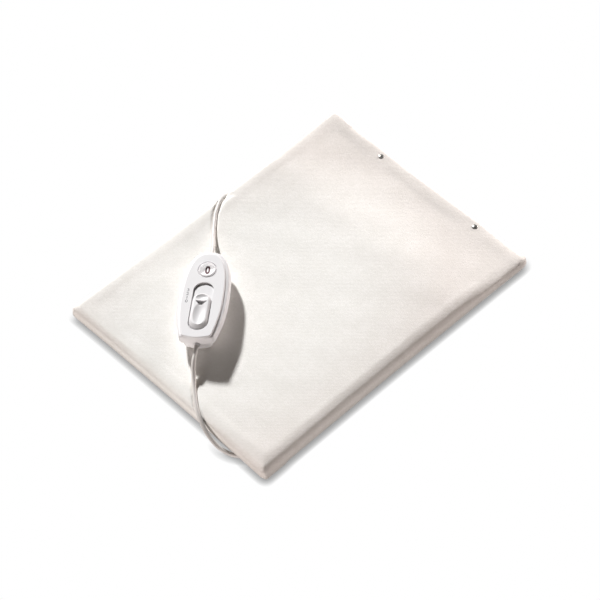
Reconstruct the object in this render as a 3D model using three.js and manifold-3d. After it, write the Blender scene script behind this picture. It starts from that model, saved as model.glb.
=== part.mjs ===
// Heating pad with a slide controller: a soft covered pad, the controller lying on it,
// the short lead between them, and the mains lead coiled under the pad with its plug.
// Millimetres, +Z up, origin at the middle of the pad on the surface that it lies on.
import * as THREE from "three";
import { mergeVertices } from "three/addons/utils/BufferGeometryUtils.js";
import Module from "manifold-3d";

const wasm = await Module();
wasm.setup();

// Gap that touching pieces keep.
const fit = 0.3;

// Pad.
const padLength = 400;
const padWidth = 300;
const padCorner = 10;
const padDrawIn = 1.5;
const rimHeight = 16;
const crownRise = 7;
const hollowRise = 14.5;
const edgeRun = 9;
const edgeRunBelow = 6;
const edgeMiddle = 6;
const coverWall = 1;
const upperWaddingThickness = 1.2;
const wireLayer = 2.6;
const sheetThickness = 0.6;
const layerInset = 13;
const wireDiameter = 1.1;
const wireRows = 7;
const wireEndInset = 50;
const wireSideInset = 54;

// Opening of the cover, at the +X side, with its two press studs.
const hemWidth = 24;
const hemHeight = 8.6;
const hemSlope = 16;
const hemEndRoom = 32;
const hemFade = 24;
const slitLow = 3.2;
const slitHigh = 6;
const slitEndRoom = 25;
const studSpacing = 146;
const studShift = -5;
const studInset = 8;
const studCapRadius = 3.6;
const studCapHeight = 1.4;
const studPostRadius = 1.2;
const studSocketRadius = 4;
const studPinRadius = 1.9;
const studBaseHeight = 0.6;
const rivetHeight = 0.8;

// Controller: its own frame has +X to its right, +Y towards its nose and +Z up.
const caseLength = 119.5;
const caseWidth = 55;
const caseWidest = -6;
const caseTailWidth = 40.5;
const caseTailCorner = 5;
const caseTailBow = 2;
const noseFullness = 2.6;
const partingHeight = 10.5;
const caseHeight = 22;
const shellWall = 2;
const faceStep = 1.8;
const faceInset = 4.7;
// Outside and inside of the cover and of the lower shell: height (over the parting line for the cover),
// how far the skin is drawn in there, and how far at the tail, whose end wall stands upright.
const coverProfile = [
  [0, 0, 0], [6, 0.1, 0.1], [7.9, 0.6, 0.3], [9, 1.5, 0.5], [9.4, 2.9, 0.6], [9.7, 4.4, 0.7],
];
const coverInside = [[-1, 2, 2], [5, 2.3, 2.1], [6.9, 3.6, 2.3], [7.6, 5.4, 2.5], [9.5, 7.6, 2.8]];
const shellProfile = [
  [0, 9.5, 3.6], [0.8, 7.4, 2.2], [2.6, 6, 1.7], [5.4, 5.2, 1.5], [8.4, 4.8, 1.4], [9.4, 1.7, 1], [10.2, 1.6, 1],
];
const shellInside = [
  [2, 11.5, 5.2], [3.2, 9.4, 4], [5.8, 7.6, 3.6], [8.4, 7, 3.4], [9.8, 3.6, 3], [11.2, 3.5, 3],
];
const caseX = -96.5;
const caseY = 47.2;
const caseYaw = -50.5;
const caseRoll = -5;

// Slide switch and its indicator wheel.
const stagePitch = 5;
const stages = 3;
const recessWidth = 22;
const recessNoseRoom = 44.4;
const recessTailRoom = 11;
const recessDepth = 1.6;
const recessFloor = 1.3;
const knobSideGap = 0.8;
const knobEndGap = 0.5;
// Outside of the thumb slide: height over its underside, how far it is drawn in, and how far at its tail.
const knobProfile = [[0, 0, 0], [0.3, 0, 0], [1.2, 0.1, 1.9], [2.1, 0.9, 3.8], [3, 2.6, 5.9]];
const crestRoom = 10.5;
const stemWidth = 4.8;
const stemLength = 8.4;
const stemTailRoom = 33.5;
const windowNoseRoom = 26.3;
const lensRadius = 9.8;
const lensFlange = 0.6;
const lensProud = 1.4;
const lensDome = 1;
const digitCircle = 11;
const wheelRadius = 17;
const wheelThickness = 1.4;
const pinionTeeth = 12;
const toothRise = 0.55;
const toothFall = 0.95;
const toothShare = 0.36;
const pinionHeight = 3.8;
const pinRadius = 1.2;

// Cords.
const cordDiameter = 4.7;
const coilTurns = 4;
const coilInner = 20;
const coilPitch = 5.3;
const coilCentre = new THREE.Vector2(52, 8);
const tieWidth = 10;
const tieThickness = 0.5;
const bushLength = 20;
const bushProud = 2;
const bushRadius = 3.6;

// Plug: flat, two round pins.
const plugLength = 34;
const plugWidth = 35;
const plugThickness = 13.7;
const plugBoot = 24;
const plugPinRadius = 2;
const plugPinLength = 19;
const plugPinSpacing = 18.6;

const halfX = padLength / 2;
const halfY = padWidth / 2;
const wireReach = halfX - wireEndInset;
const wireRowGap = (padWidth - 2 * wireSideInset) / (wireRows - 1);
const cordRadius = cordDiameter / 2;
const travel = stagePitch * stages;
const object = new THREE.Group();

// Solids from geometry and back.
function solid(geometry) {
  const bare = geometry.clone();
  for (const name of Object.keys(bare.attributes)) {
    if (name !== "position") bare.deleteAttribute(name);
  }
  const merged = mergeVertices(bare, 1e-4);
  const triVerts = new Uint32Array(merged.index.array);
  const make = () => new wasm.Manifold(
    new wasm.Mesh({ numProp: 3, vertProperties: merged.attributes.position.array, triVerts }),
  );
  const body = make();
  if (body.volume() > 0) return body;
  for (let i = 0; i < triVerts.length; i += 3) {
    [triVerts[i + 1], triVerts[i + 2]] = [triVerts[i + 2], triVerts[i + 1]];
  }
  return make();
}

function geometryOf(body) {
  const mesh = body.getMesh();
  const places = new Float32Array(mesh.numVert * 3);
  for (let i = 0; i < mesh.numVert; i++) {
    places.set(mesh.vertProperties.subarray(i * mesh.numProp, i * mesh.numProp + 3), i * 3);
  }
  return new THREE.BufferGeometry()
    .setAttribute("position", new THREE.BufferAttribute(places, 3))
    .setIndex(new THREE.BufferAttribute(mesh.triVerts, 1));
}

const finishes = {
  flannel: new THREE.MeshStandardMaterial({ color: 0xefe9e2, roughness: 0.95 }),
  wadding: new THREE.MeshStandardMaterial({ color: 0xf4f1ea, roughness: 1 }),
  felt: new THREE.MeshStandardMaterial({ color: 0xd9d4c8, roughness: 1 }),
  whitePlastic: new THREE.MeshStandardMaterial({ color: 0xf0eeef, roughness: 0.35 }),
  greyPlastic: new THREE.MeshStandardMaterial({ color: 0x8d8f91, roughness: 0.5 }),
  clearPlastic: new THREE.MeshStandardMaterial({ color: 0xf6f6f4, roughness: 0.05 }),
  whiteCord: new THREE.MeshStandardMaterial({ color: 0xeeebe8, roughness: 0.5 }),
  nickel: new THREE.MeshStandardMaterial({ color: 0xb9b9b6, roughness: 0.25, metalness: 1 }),
  steel: new THREE.MeshStandardMaterial({ color: 0x9b9c9e, roughness: 0.35, metalness: 1 }),
  brass: new THREE.MeshStandardMaterial({ color: 0xc2a565, roughness: 0.3, metalness: 1 }),
  board: new THREE.MeshStandardMaterial({ color: 0x8a6a3c, roughness: 0.7 }),
  blackPlastic: new THREE.MeshStandardMaterial({ color: 0x26272a, roughness: 0.5 }),
};

function piece(group, name, body, finish) {
  const mesh = new THREE.Mesh(geometryOf(body), finishes[finish]);
  mesh.name = name;
  group.add(mesh);
}

// Simple blocks, each between two heights.
function box(x0, x1, y0, y1, z0, z1) {
  const geometry = new THREE.BoxGeometry(x1 - x0, y1 - y0, z1 - z0);
  return solid(geometry.translate((x0 + x1) / 2, (y0 + y1) / 2, (z0 + z1) / 2));
}

function disc(radius, z0, z1, x = 0, y = 0, sides = 16) {
  const geometry = new THREE.CylinderGeometry(radius, radius, z1 - z0, sides);
  return solid(geometry.rotateX(Math.PI / 2).translate(x, y, (z0 + z1) / 2));
}

function turned(profile, sides = 16) {
  const points = profile.map(([radius, along]) => new THREE.Vector2(radius, along));
  return new THREE.LatheGeometry(points, sides);
}

function stadiumShape(width, low, high) {
  const radius = width / 2;
  const shape = new THREE.Shape();
  shape.absarc(0, high - radius, radius, 0, Math.PI, false);
  shape.absarc(0, low + radius, radius, Math.PI, 2 * Math.PI, false);
  shape.closePath();
  return shape;
}

function stadium(width, low, high, z0, z1) {
  const settings = { depth: z1 - z0, bevelEnabled: false, curveSegments: 8 };
  return solid(new THREE.ExtrudeGeometry(stadiumShape(width, low, high), settings).translate(0, 0, z0));
}

// A closed skin over a stack of rings that all have the same number of points. From ring `back` on the
// faces are split along the other diagonal, so that a layer's top nests under the next layer's underside.
function loft(rings, back = rings.length) {
  const count = rings[0].length;
  const places = [];
  const faces = [];
  const middle = (ring) => ring.reduce((sum, p) => sum.add(p), new THREE.Vector3()).divideScalar(count);
  for (const ring of rings) for (const p of ring) places.push(p.x, p.y, p.z);
  for (let r = 0; r + 1 < rings.length; r++) {
    for (let i = 0; i < count; i++) {
      const a = r * count + i;
      const b = r * count + (i + 1) % count;
      if (r < back) faces.push(a, b, b + count, a, b + count, a + count);
      else faces.push(a, b, a + count, b, b + count, a + count);
    }
  }
  const first = rings.length * count;
  const last = (rings.length - 1) * count;
  for (const end of [rings[0], rings[rings.length - 1]]) {
    const centre = middle(end);
    places.push(centre.x, centre.y, centre.z);
  }
  for (let i = 0; i < count; i++) {
    const next = (i + 1) % count;
    faces.push(first, next, i, first + 1, last + i, last + next);
  }
  const geometry = new THREE.BufferGeometry();
  geometry.setAttribute("position", new THREE.Float32BufferAttribute(places, 3));
  geometry.setIndex(faces);
  return solid(geometry);
}

// A round tube along a smooth curve through the given points.
function tube(points, radius, sides, steps) {
  const section = new THREE.Shape();
  for (let i = 0; i < sides; i++) {
    const angle = (2 * Math.PI * i) / sides;
    const corner = [radius * Math.cos(angle), radius * Math.sin(angle)];
    if (i === 0) section.moveTo(...corner);
    else section.lineTo(...corner);
  }
  section.closePath();
  const path = new THREE.CatmullRomCurve3(points, false, "centripetal");
  return solid(new THREE.ExtrudeGeometry(section, { steps, extrudePath: path, bevelEnabled: false }));
}

const smooth = (low, high, value) => THREE.MathUtils.smoothstep(value, low, high);

// Heights of the pad. It lies over the coiled mains lead, so its middle is lifted off the surface.
const swell = (x, y) => (1 - (x / halfX) ** 2) * (1 - (y / halfY) ** 2);
const padTop = (x, y) => {
  const hemReach = halfY - hemEndRoom;
  const inHem = 1 - smooth(hemReach, hemReach + hemFade, Math.abs(y));
  const hem = inHem * smooth(halfX - hemWidth, halfX - hemWidth + hemSlope, x);
  const crowned = rimHeight + crownRise * smooth(0, 0.95, swell(x, y));
  return crowned + (hemHeight - crowned) * hem;
};
const padUnder = (x, y) => hollowRise * smooth(0.2, 0.85, swell(x, y));

// Rounded rectangle with sides drawn in between the corners.
function padOutline(inset) {
  const reachX = halfX - inset;
  const reachY = halfY - inset;
  const corner = Math.max(padCorner - inset, 4);
  const cornerSteps = 3;
  const sideSteps = 5;
  const points = [];
  const centres = [[1, 1], [-1, 1], [-1, -1], [1, -1]];
  centres.forEach(([signX, signY], quarter) => {
    for (let i = 0; i <= cornerSteps; i++) {
      const angle = (quarter + i / cornerSteps) * (Math.PI / 2);
      const x = signX * (reachX - corner) + corner * Math.cos(angle);
      const y = signY * (reachY - corner) + corner * Math.sin(angle);
      points.push(new THREE.Vector2(x, y));
    }
    const from = points[points.length - 1];
    const [nextX, nextY] = centres[(quarter + 1) % 4];
    const turn = (quarter + 1) * (Math.PI / 2);
    const to = new THREE.Vector2(
      nextX * (reachX - corner) + corner * Math.cos(turn),
      nextY * (reachY - corner) + corner * Math.sin(turn),
    );
    for (let i = 1; i < sideSteps; i++) points.push(from.clone().lerp(to, i / sideSteps));
  });
  return points.map((p) => {
    const pullX = 1 - (padDrawIn / reachX) * (1 - (p.y / reachY) ** 2);
    const pullY = 1 - (padDrawIn / reachY) * (1 - (p.x / reachX) ** 2);
    return new THREE.Vector2(p.x * pullX, p.y * pullY);
  });
}

const middleScales = [0.3, 0.55, 0.78];

function padRing(inset, scale, height) {
  return padOutline(inset).map((p) => {
    const x = p.x * scale;
    const y = p.y * scale;
    return new THREE.Vector3(x, y, height(x, y));
  });
}

// Rings from the middle out to the edge of the layers, shared by every layer so that they nest.
function spreadRings(height) {
  const rings = middleScales.map((scale) => padRing(0, scale, height));
  return [...rings, padRing(layerInset, 1, height)];
}

// A flat layer of the pad between two height functions, with upright sides.
function padLayer(low, high) {
  const below = spreadRings(low);
  return loft([...below, ...spreadRings(high).reverse()], below.length);
}

// The pad's pillow form, or the same form shrunk by a wall for the space inside the cover.
function pillow(wall, edgeAngles) {
  const low = (x, y) => padUnder(x, y) + wall;
  const high = (x, y) => padTop(x, y) - wall;
  const rings = spreadRings(low);
  for (const angle of edgeAngles) {
    const turn = THREE.MathUtils.degToRad(angle);
    const run = angle < 0 ? edgeRunBelow : edgeRun;
    const edge = angle < 0 ? low : high;
    const inset = wall + run * (1 - Math.cos(turn));
    const height = (x, y) => edgeMiddle + (edge(x, y) - edgeMiddle) * Math.abs(Math.sin(turn));
    rings.push(padRing(inset, 1, height));
  }
  const back = rings.length;
  rings.push(...spreadRings(high).reverse());
  return loft(rings, back);
}

// Height of a layer as it is faceted by the shared rings.
function facetHeight(height) {
  const skin = new THREE.Mesh(geometryOf(padLayer(() => -rimHeight, height)));
  const down = new THREE.Vector3(0, 0, -1);
  return (x, y) => {
    const ray = new THREE.Raycaster(new THREE.Vector3(x, y, 3 * rimHeight), down);
    return ray.intersectObject(skin)[0].point.z;
  };
}

// Plan of the controller: a full round nose, sides that taper to a slightly bowed tail with small corners.
const halfCaseX = caseWidth / 2;
const halfCaseY = caseLength / 2;

function casePlan() {
  const points = [];
  const noseSteps = 14;
  const power = 2 / noseFullness;
  for (let i = 0; i <= noseSteps; i++) {
    const angle = (Math.PI * i) / noseSteps;
    const across = Math.sign(Math.cos(angle)) * Math.abs(Math.cos(angle)) ** power;
    const along = caseWidest + (halfCaseY - caseWidest) * Math.sin(angle) ** power;
    points.push(new THREE.Vector2(halfCaseX * across, along));
  }
  const tail = -halfCaseY + caseTailBow + caseTailCorner;
  const sideSteps = 3;
  const left = [];
  for (let i = 1; i <= sideSteps; i++) {
    const share = i / sideSteps;
    const narrowing = (halfCaseX - caseTailWidth / 2) * share ** 2;
    left.push(new THREE.Vector2(-halfCaseX + narrowing, caseWidest + (tail - caseWidest) * share));
  }
  const cornerX = -caseTailWidth / 2 + caseTailCorner;
  for (const angle of [225, 270]) {
    const turn = THREE.MathUtils.degToRad(angle);
    const corner = new THREE.Vector2(Math.cos(turn), Math.sin(turn)).multiplyScalar(caseTailCorner);
    left.push(corner.add(new THREE.Vector2(cornerX, tail)));
  }
  left.push(new THREE.Vector2(cornerX / 2, -halfCaseY + caseTailBow / 4));
  const right = left.map((p) => new THREE.Vector2(-p.x, p.y)).reverse();
  return [...points, ...left, new THREE.Vector2(0, -halfCaseY), ...right];
}

// A plan at some height, drawn in by one amount at its sides and nose and by another at its tail.
function drawnIn(plan, halfWidth, low, high, height, inset, tailInset) {
  const across = 1 - inset / halfWidth;
  const along = 1 - (inset + tailInset) / (high - low);
  return plan.map((p) => new THREE.Vector3(p.x * across, low + tailInset + (p.y - low) * along, height));
}

const caseRing = (...level) => drawnIn(casePlan(), halfCaseX, -halfCaseY, halfCaseY, ...level);

// The controller lies on the highest places of the pad under it.
const caseTurn = new THREE.Euler(
  0, THREE.MathUtils.degToRad(caseRoll), THREE.MathUtils.degToRad(caseYaw), "ZYX",
);
const coverHeight = facetHeight(padTop);
const restHeights = [0, 0.5, 1].flatMap((scale) => caseRing(...shellProfile[0]).map((p) => {
  const under = p.multiplyScalar(scale).applyEuler(caseTurn);
  return coverHeight(caseX + under.x, caseY + under.y) - under.z;
}));
const casePlace = new THREE.Vector3(caseX, caseY, Math.max(...restHeights) + fit);

// Routes of the two leads, as they lie on, over and under the pad. They start in the controller's bushes,
// and their points at the pad's edges and at the gland are counted from the edges.
const inBush = [-16, -7.5, bushProud];
const alongCase = (y) => new THREE.Vector3(0, y, partingHeight).applyEuler(caseTurn).add(casePlace);
const overFarEdge = (x, y, z) => [x, halfY + y, z];
const overLeftEdge = (x, y, z) => [x - halfX, y, z];
const nearCorner = (x, y, z) => [x - halfX, y - halfY, z];
const mainsRoute = inBush.map((past) => alongCase(halfCaseY + past)).concat([
  [-44.8, 91.5, 32.6], [-39.1, 96.6, 30.9], [-33.8, 102.5, 28.0], [-28.0, 109.3, 24.8],
  [-21.5, 116.2, 22.5], [-15.1, 122.3, 21.3], [-8.7, 128.4, 20.5],
  overFarEdge(0.0, -13.8, 19.7), overFarEdge(10.3, -6.8, 18.5), overFarEdge(18.8, -1.4, 15.9),
  overFarEdge(26.8, 2.3, 12.0), overFarEdge(34.8, 4.4, 8.3), overFarEdge(43.0, 5.0, 5.4),
  overFarEdge(51.4, 3.6, 3.6), overFarEdge(59.6, 0.2, 2.8), overFarEdge(67.6, -5.1, 2.7),
  overFarEdge(75.0, -12.2, 2.7), overFarEdge(81.6, -21.2, 2.7),
  [87.0, 117.6, 2.7], [90.9, 104.0, 2.8], [92.8, 89.0, 2.9], [93.2, 73.0, 3.0], [93.2, 56.0, 3.1],
  [93.2, 39.0, 3.15], [93.2, 26.0, 3.15], [93.2, 13.1, 3.15],
].map((p) => new THREE.Vector3(...p)));

const padLeadRoute = inBush.map((past) => alongCase(-halfCaseY - past)).concat([
  [-150.4, 4.1, 32.5], [-157.7, -1.3, 30.8], [-162.7, -5.7, 28.0],
  [-167.1, -10.3, 25.0], [-171.8, -15.6, 22.3], [-177.0, -21.6, 20.5],
  overLeftEdge(17.4, -28.6, 19.6), overLeftEdge(11.6, -36.4, 18.9), overLeftEdge(7.0, -43.4, 18.2),
  overLeftEdge(3.0, -51.0, 16.9), overLeftEdge(-0.6, -60.0, 14.4), overLeftEdge(-3.2, -69.8, 11.2),
  overLeftEdge(-4.4, -79.0, 8.1), nearCorner(-4.2, 62.8, 5.5), nearCorner(-2.6, 55.4, 3.8),
  nearCorner(0.0, 48.0, 2.8), nearCorner(4.4, 40.4, 2.7), nearCorner(11.0, 33.6, 2.7),
  nearCorner(19.6, 28.6, 2.8), nearCorner(29.4, 26.1, 3.2), nearCorner(38.4, 25.6, 3.7),
  nearCorner(46.7, 25.6, 3.9),
].map((p) => new THREE.Vector3(...p)));

// Gland under the pad, where the short lead goes in.
const glandMouth = padLeadRoute[padLeadRoute.length - 1].clone();
const glandNeck = 32;
const glandNeckRadius = 3.6;
const glandBossRadius = 8;
const glandBoss = new THREE.Vector2(glandMouth.x + fit + glandNeck + glandBossRadius - 2, glandMouth.y);
const blockLength = 12;
const blockWidth = 8;
const blockHeight = 0.9;

// Heights of the layers, counted down from the top of the pad.
const upperTop = (x, y) => padTop(x, y) - coverWall - fit;
const upperLow = (x, y) => upperTop(x, y) - upperWaddingThickness;
const sheetTop = (x, y) => upperLow(x, y) - fit - wireLayer;
const wireMiddle = (x, y) => sheetTop(x, y) + fit / 2 + wireLayer / 2;
const sheetLow = (x, y) => sheetTop(x, y) - sheetThickness;
const lowerTop = (x, y) => sheetLow(x, y) - fit;
const lowerLow = (x, y) => padUnder(x, y) + coverWall + fit;
const wireHeight = facetHeight(wireMiddle);
const sheetHeight = facetHeight(sheetTop);
const lowerHeight = facetHeight(lowerTop);

// Room that a lead takes in the underside of the pad.
function leadGroove(route, radius) {
  const low = route.filter((p) => p.z < 6);
  const lowered = (drop) => tube(low.map((p) => p.clone().setZ(p.z - drop)), radius, 8, low.length);
  const step = radius * 0.8;
  return lowered(0).add(lowered(step)).add(lowered(2 * step));
}

function makePad() {
  const innerEnd = box(-halfX, halfX - hemWidth, -halfY, halfY, -1, 2 * rimHeight);
  const layerEnd = box(-halfX, halfX - hemWidth - fit, -halfY, halfY, -1, 2 * rimHeight);
  const grooveRadius = cordRadius + 2 * fit;
  const grooves = leadGroove(mainsRoute, grooveRadius).add(leadGroove(padLeadRoute, grooveRadius));
  const neckX = glandMouth.x - fit;
  const neckRoom = box(
    neckX, glandBoss.x, glandMouth.y - glandNeckRadius - fit, glandMouth.y + glandNeckRadius + fit,
    -1, glandMouth.z + glandNeckRadius + fit,
  );
  const bossTop = lowerHeight(glandBoss.x, glandBoss.y);
  const bossRoom = disc(glandBossRadius + fit, -1, bossTop + 1, glandBoss.x, glandBoss.y);
  const underRoom = grooves.add(neckRoom).add(bossRoom);
  const studs = [1, -1].map((side) => [halfX - studInset, studShift + side * studSpacing / 2]);

  const inside = pillow(coverWall, [-90, 0, 40, 90]).intersect(innerEnd);
  const slitStart = halfX - hemWidth - 2;
  const slitReach = halfY - slitEndRoom;
  const slit = box(slitStart, halfX + 2, -slitReach, slitReach, slitLow, slitHigh);
  let cover = pillow(0, [-90, -50, 0, 25, 50, 90]).subtract(inside).subtract(slit);
  cover = cover.subtract(underRoom);
  const rivetRoom = rivetHeight + 2 * fit;
  for (const [x, y] of studs) {
    cover = cover.subtract(disc(studCapRadius + fit, hemHeight, 2 * rimHeight, x, y));
    cover = cover.subtract(disc(studPostRadius + fit, 0, hemHeight + 1, x, y, 8));
    cover = cover.subtract(disc(studCapRadius + fit, -1, rivetRoom, x, y));
  }
  piece(object, "pad_cover", cover, "flannel");
  const upper = padLayer(upperLow, upperTop);
  piece(object, "upper_wadding", upper.intersect(layerEnd), "wadding");
  const lower = padLayer(lowerLow, lowerTop);
  piece(object, "lower_wadding", lower.intersect(layerEnd).subtract(underRoom), "wadding");
  const spigotRadius = 2.4;
  const spigotRoom = disc(spigotRadius + fit, 0, 2 * rimHeight, glandBoss.x, glandBoss.y);
  const sheet = padLayer(sheetLow, sheetTop);
  piece(object, "element_sheet", sheet.intersect(layerEnd).subtract(spigotRoom), "felt");

  makeGland(bossTop - 4 * fit, spigotRadius);
  makeHeatingWire();
  studs.forEach(([x, y], i) => makeStud(i + 1, x, y));
}

function makeGland(bossTop, spigotRadius) {
  const blockLow = sheetHeight(glandBoss.x, glandBoss.y) + 3 * fit;
  const mouthRadius = cordRadius + 0.5;
  const taperEnd = glandNeck * 0.6;
  const neckProfile = [
    [0, 0], [mouthRadius, 0], [glandNeckRadius, taperEnd], [glandNeckRadius, glandNeck], [0, glandNeck],
  ];
  const neck = solid(
    turned(neckProfile).rotateZ(-Math.PI / 2)
      .translate(glandMouth.x + fit, glandMouth.y, glandMouth.z),
  );
  const boss = disc(glandBossRadius, glandMouth.z - glandNeckRadius, bossTop, glandBoss.x, glandBoss.y);
  const spigot = disc(spigotRadius, bossTop - 1, blockLow - fit, glandBoss.x, glandBoss.y);
  piece(object, "lead_gland", neck.add(boss).add(spigot), "whitePlastic");
  const block = box(
    glandBoss.x - blockLength / 2, glandBoss.x + blockLength / 2,
    glandBoss.y - blockWidth / 2, glandBoss.y + blockWidth / 2, blockLow, blockLow + blockHeight,
  );
  piece(object, "splice_block", block, "greyPlastic");
}

// One heating wire from the splice block, to and fro over the sheet, and back to the block.
function makeHeatingWire() {
  const flat = [];
  const firstRow = -((wireRows - 1) / 2) * wireRowGap;
  const start = glandBoss.x + blockLength / 2 + fit;
  const rowSteps = 10;
  flat.push([start, glandBoss.y], [start + 12, glandBoss.y + 2], [start + 28, firstRow - 8]);
  for (let row = 0; row < wireRows; row++) {
    const y = firstRow + row * wireRowGap;
    const way = row % 2 === 0 ? 1 : -1;
    const from = row === 0 ? start + 50 : -way * wireReach;
    for (let i = 0; i <= rowSteps; i++) flat.push([from + (way * wireReach - from) * (i / rowSteps), y]);
    if (row + 1 < wireRows) flat.push([way * (wireReach + wireRowGap / 2.6), y + wireRowGap / 2]);
  }
  const backX = -wireReach - wireRowGap / 2.6 - 8;
  const lastRow = -firstRow;
  flat.push([wireReach + 8, lastRow + 6], [wireReach - 4, lastRow + 14]);
  for (let i = 1; i <= rowSteps; i++) {
    flat.push([wireReach + (backX + 14 - wireReach) * (i / rowSteps), lastRow + 15]);
  }
  flat.push([backX + 3, lastRow + 8]);
  for (let i = 0; i <= rowSteps; i++) {
    flat.push([backX, lastRow - 8 - (lastRow - 8 - glandBoss.y * 0.7) * (i / rowSteps)]);
  }
  flat.push([backX + 8, glandBoss.y + 8], [backX + 24, glandBoss.y]);
  flat.push([glandBoss.x - blockLength / 2 - fit, glandBoss.y]);
  const points = flat.map(([x, y]) => new THREE.Vector3(x, y, wireHeight(x, y)));
  const wire = tube(points, wireDiameter / 2, 5, Math.round(1.5 * points.length));
  piece(object, "heating_wire", wire, "blackPlastic");
  const limiterLength = 16;
  const limiterWidth = 6;
  const limiterHeight = 1.2;
  [[40, -wireRowGap * 1.5], [-40, wireRowGap * 1.5]].forEach(([x, y], i) => {
    const low = sheetHeight(x, y) + fit;
    const body = box(
      x - limiterLength / 2, x + limiterLength / 2, y - limiterWidth / 2, y + limiterWidth / 2,
      low, low + limiterHeight,
    );
    piece(object, `overheat_limiter_${i + 1}`, body, "blackPlastic");
  });
}

// Press stud: cap and socket in the upper hem, stud and rivet in the lower hem.
function makeStud(number, x, y) {
  const capLow = hemHeight + fit;
  const socketHigh = slitHigh - fit;
  const socketLow = slitLow + studBaseHeight + 2 * fit;
  const dome = solid(
    turned([[0, 0], [studCapRadius, 0], [studCapRadius, 0.5], [studCapRadius * 0.7, studCapHeight * 0.85],
      [0, studCapHeight]]).rotateX(Math.PI / 2).translate(x, y, capLow),
  );
  const post = disc(studPostRadius, socketLow + 1, capLow + 0.2, x, y, 8);
  piece(object, `stud_cap_${number}`, dome.add(post), "nickel");
  const socket = disc(studSocketRadius, socketLow, socketHigh, x, y)
    .subtract(disc(studPinRadius + fit, socketLow - 1, socketHigh + 1, x, y));
  piece(object, `stud_socket_${number}`, socket, "nickel");
  const baseLow = slitLow + fit;
  const base = disc(studSocketRadius, baseLow, baseLow + studBaseHeight, x, y);
  const pin = disc(studPinRadius, baseLow, socketLow + 1 - fit, x, y);
  const bore = disc(studPostRadius - 0.3, baseLow - 1, baseLow + studBaseHeight, x, y, 8);
  piece(object, `stud_pin_${number}`, base.add(pin).subtract(bore), "nickel");
  const rivetHead = disc(studCapRadius - 0.5, fit, fit + rivetHeight, x, y);
  const rivetPost = disc(studPostRadius - 0.6, fit, baseLow + studBaseHeight - fit, x, y, 8);
  piece(object, `stud_rivet_${number}`, rivetHead.add(rivetPost), "nickel");
}

const caseLoft = (levels) => loft(levels.map((level) => caseRing(...level)));

// Heights inside the controller.
const faceTop = caseHeight;
const ceiling = faceTop - shellWall;
const recessBase = faceTop - recessDepth;
const panLow = recessBase - recessFloor;
const wheelTop = panLow - fit;
const wheelLow = wheelTop - wheelThickness;
const pinionLow = wheelLow - pinionHeight;
const rackLow = pinionLow + 0.4;
const rackHigh = wheelLow - 0.4;
const carriageTop = panLow - fit;
const carriageLow = carriageTop - 3.3;
const boardLow = 5;
const boardTop = boardLow + 1.4;
const pinionPitch = (stagePitch * 6) / (2 * Math.PI);
const toothPitch = (2 * Math.PI * pinionPitch) / pinionTeeth;
const windowPlace = halfCaseY - windowNoseRoom;
const wheelPlace = windowPlace - digitCircle;
const recessTop = halfCaseY - recessNoseRoom;
const recessLow = recessTailRoom - halfCaseY;
const recessLength = recessTop - recessLow;
const stemPlace = stemTailRoom - halfCaseY;
const tailScrewY = 16 - halfCaseY;
const screwPlaces = [[15.5, -4], [-15.5, -4], [13, tailScrewY], [-13, tailScrewY]];
const screwHeadRadius = 2.6;
const screwRadius = 1.3;
const screwSeat = 6.3;
const screwEnd = 16;
const bossRadius = 3.3;
const clampPlaces = [halfCaseY - 10.5, 9 - halfCaseY];
const clampScrewX = 7.4;
const clampThickness = 2;
const clampWidth = 5;
const clampLow = partingHeight + bushRadius + fit;
const clampPostRadius = 2.6;
const clampScrewRadius = 1.1;
const boardHalfWidth = 10.5;
const contactHalf = 4;
const boardTail = 21.5 - halfCaseY;
const boardNose = halfCaseY - 15.5;
const railX = -11.2;
const railThickness = 2.2;
const railNotch = 1;
const detentPlace = stemPlace - 3.5;

function makeTopCover(group) {
  const raised = ([rise, inset, tail]) => [partingHeight + rise, inset, tail];
  const faceEdge = [
    [faceTop - faceStep, faceInset, 0.8], [faceTop - 0.5, faceInset + 0.3, 1.1],
    [faceTop, faceInset + 1, 1.7],
  ];
  const outer = caseLoft([...coverProfile.map(raised), ...faceEdge]);
  const inner = caseLoft(coverInside.map(raised));
  let cover = outer.subtract(inner);
  const panRim = 1.5;
  const panWidth = recessWidth + 2 * panRim;
  const pan = stadium(panWidth, recessLow - panRim, recessTop + panRim, panLow, ceiling + 0.5);
  cover = cover.add(pan.intersect(outer));
  for (const [x, y] of screwPlaces) {
    const boss = disc(bossRadius, partingHeight + fit, ceiling + 0.5, x, y, 10).intersect(outer);
    cover = cover.add(boss).subtract(disc(screwRadius + 0.15, partingHeight - 1, screwEnd + 1, x, y, 8));
  }
  cover = cover.subtract(stadium(recessWidth, recessLow, recessTop, recessBase, faceTop + 5));
  const slotRoom = fit + stemLength / 2;
  const slotLow = stemPlace - slotRoom;
  const slotHigh = stemPlace + travel + slotRoom;
  const slotHalf = stemWidth / 2 + fit;
  cover = cover.subtract(box(-slotHalf, slotHalf, slotLow, slotHigh, panLow - 1, faceTop));
  cover = cover.subtract(disc(lensRadius + fit, panLow, faceTop + 1, 0, windowPlace, 24));
  cover = cover.subtract(cordHoles());
  piece(group, "top_cover", cover, "whitePlastic");
}

// Room for the cord bushes in the two end walls.
function cordHoles() {
  const radius = bushRadius + fit;
  const hole = solid(
    new THREE.CylinderGeometry(radius, radius, caseLength + 10, 16).translate(0, 0, partingHeight),
  );
  const between = halfCaseY - 12;
  return hole.subtract(box(-10, 10, -between, between, 0, faceTop));
}

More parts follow.
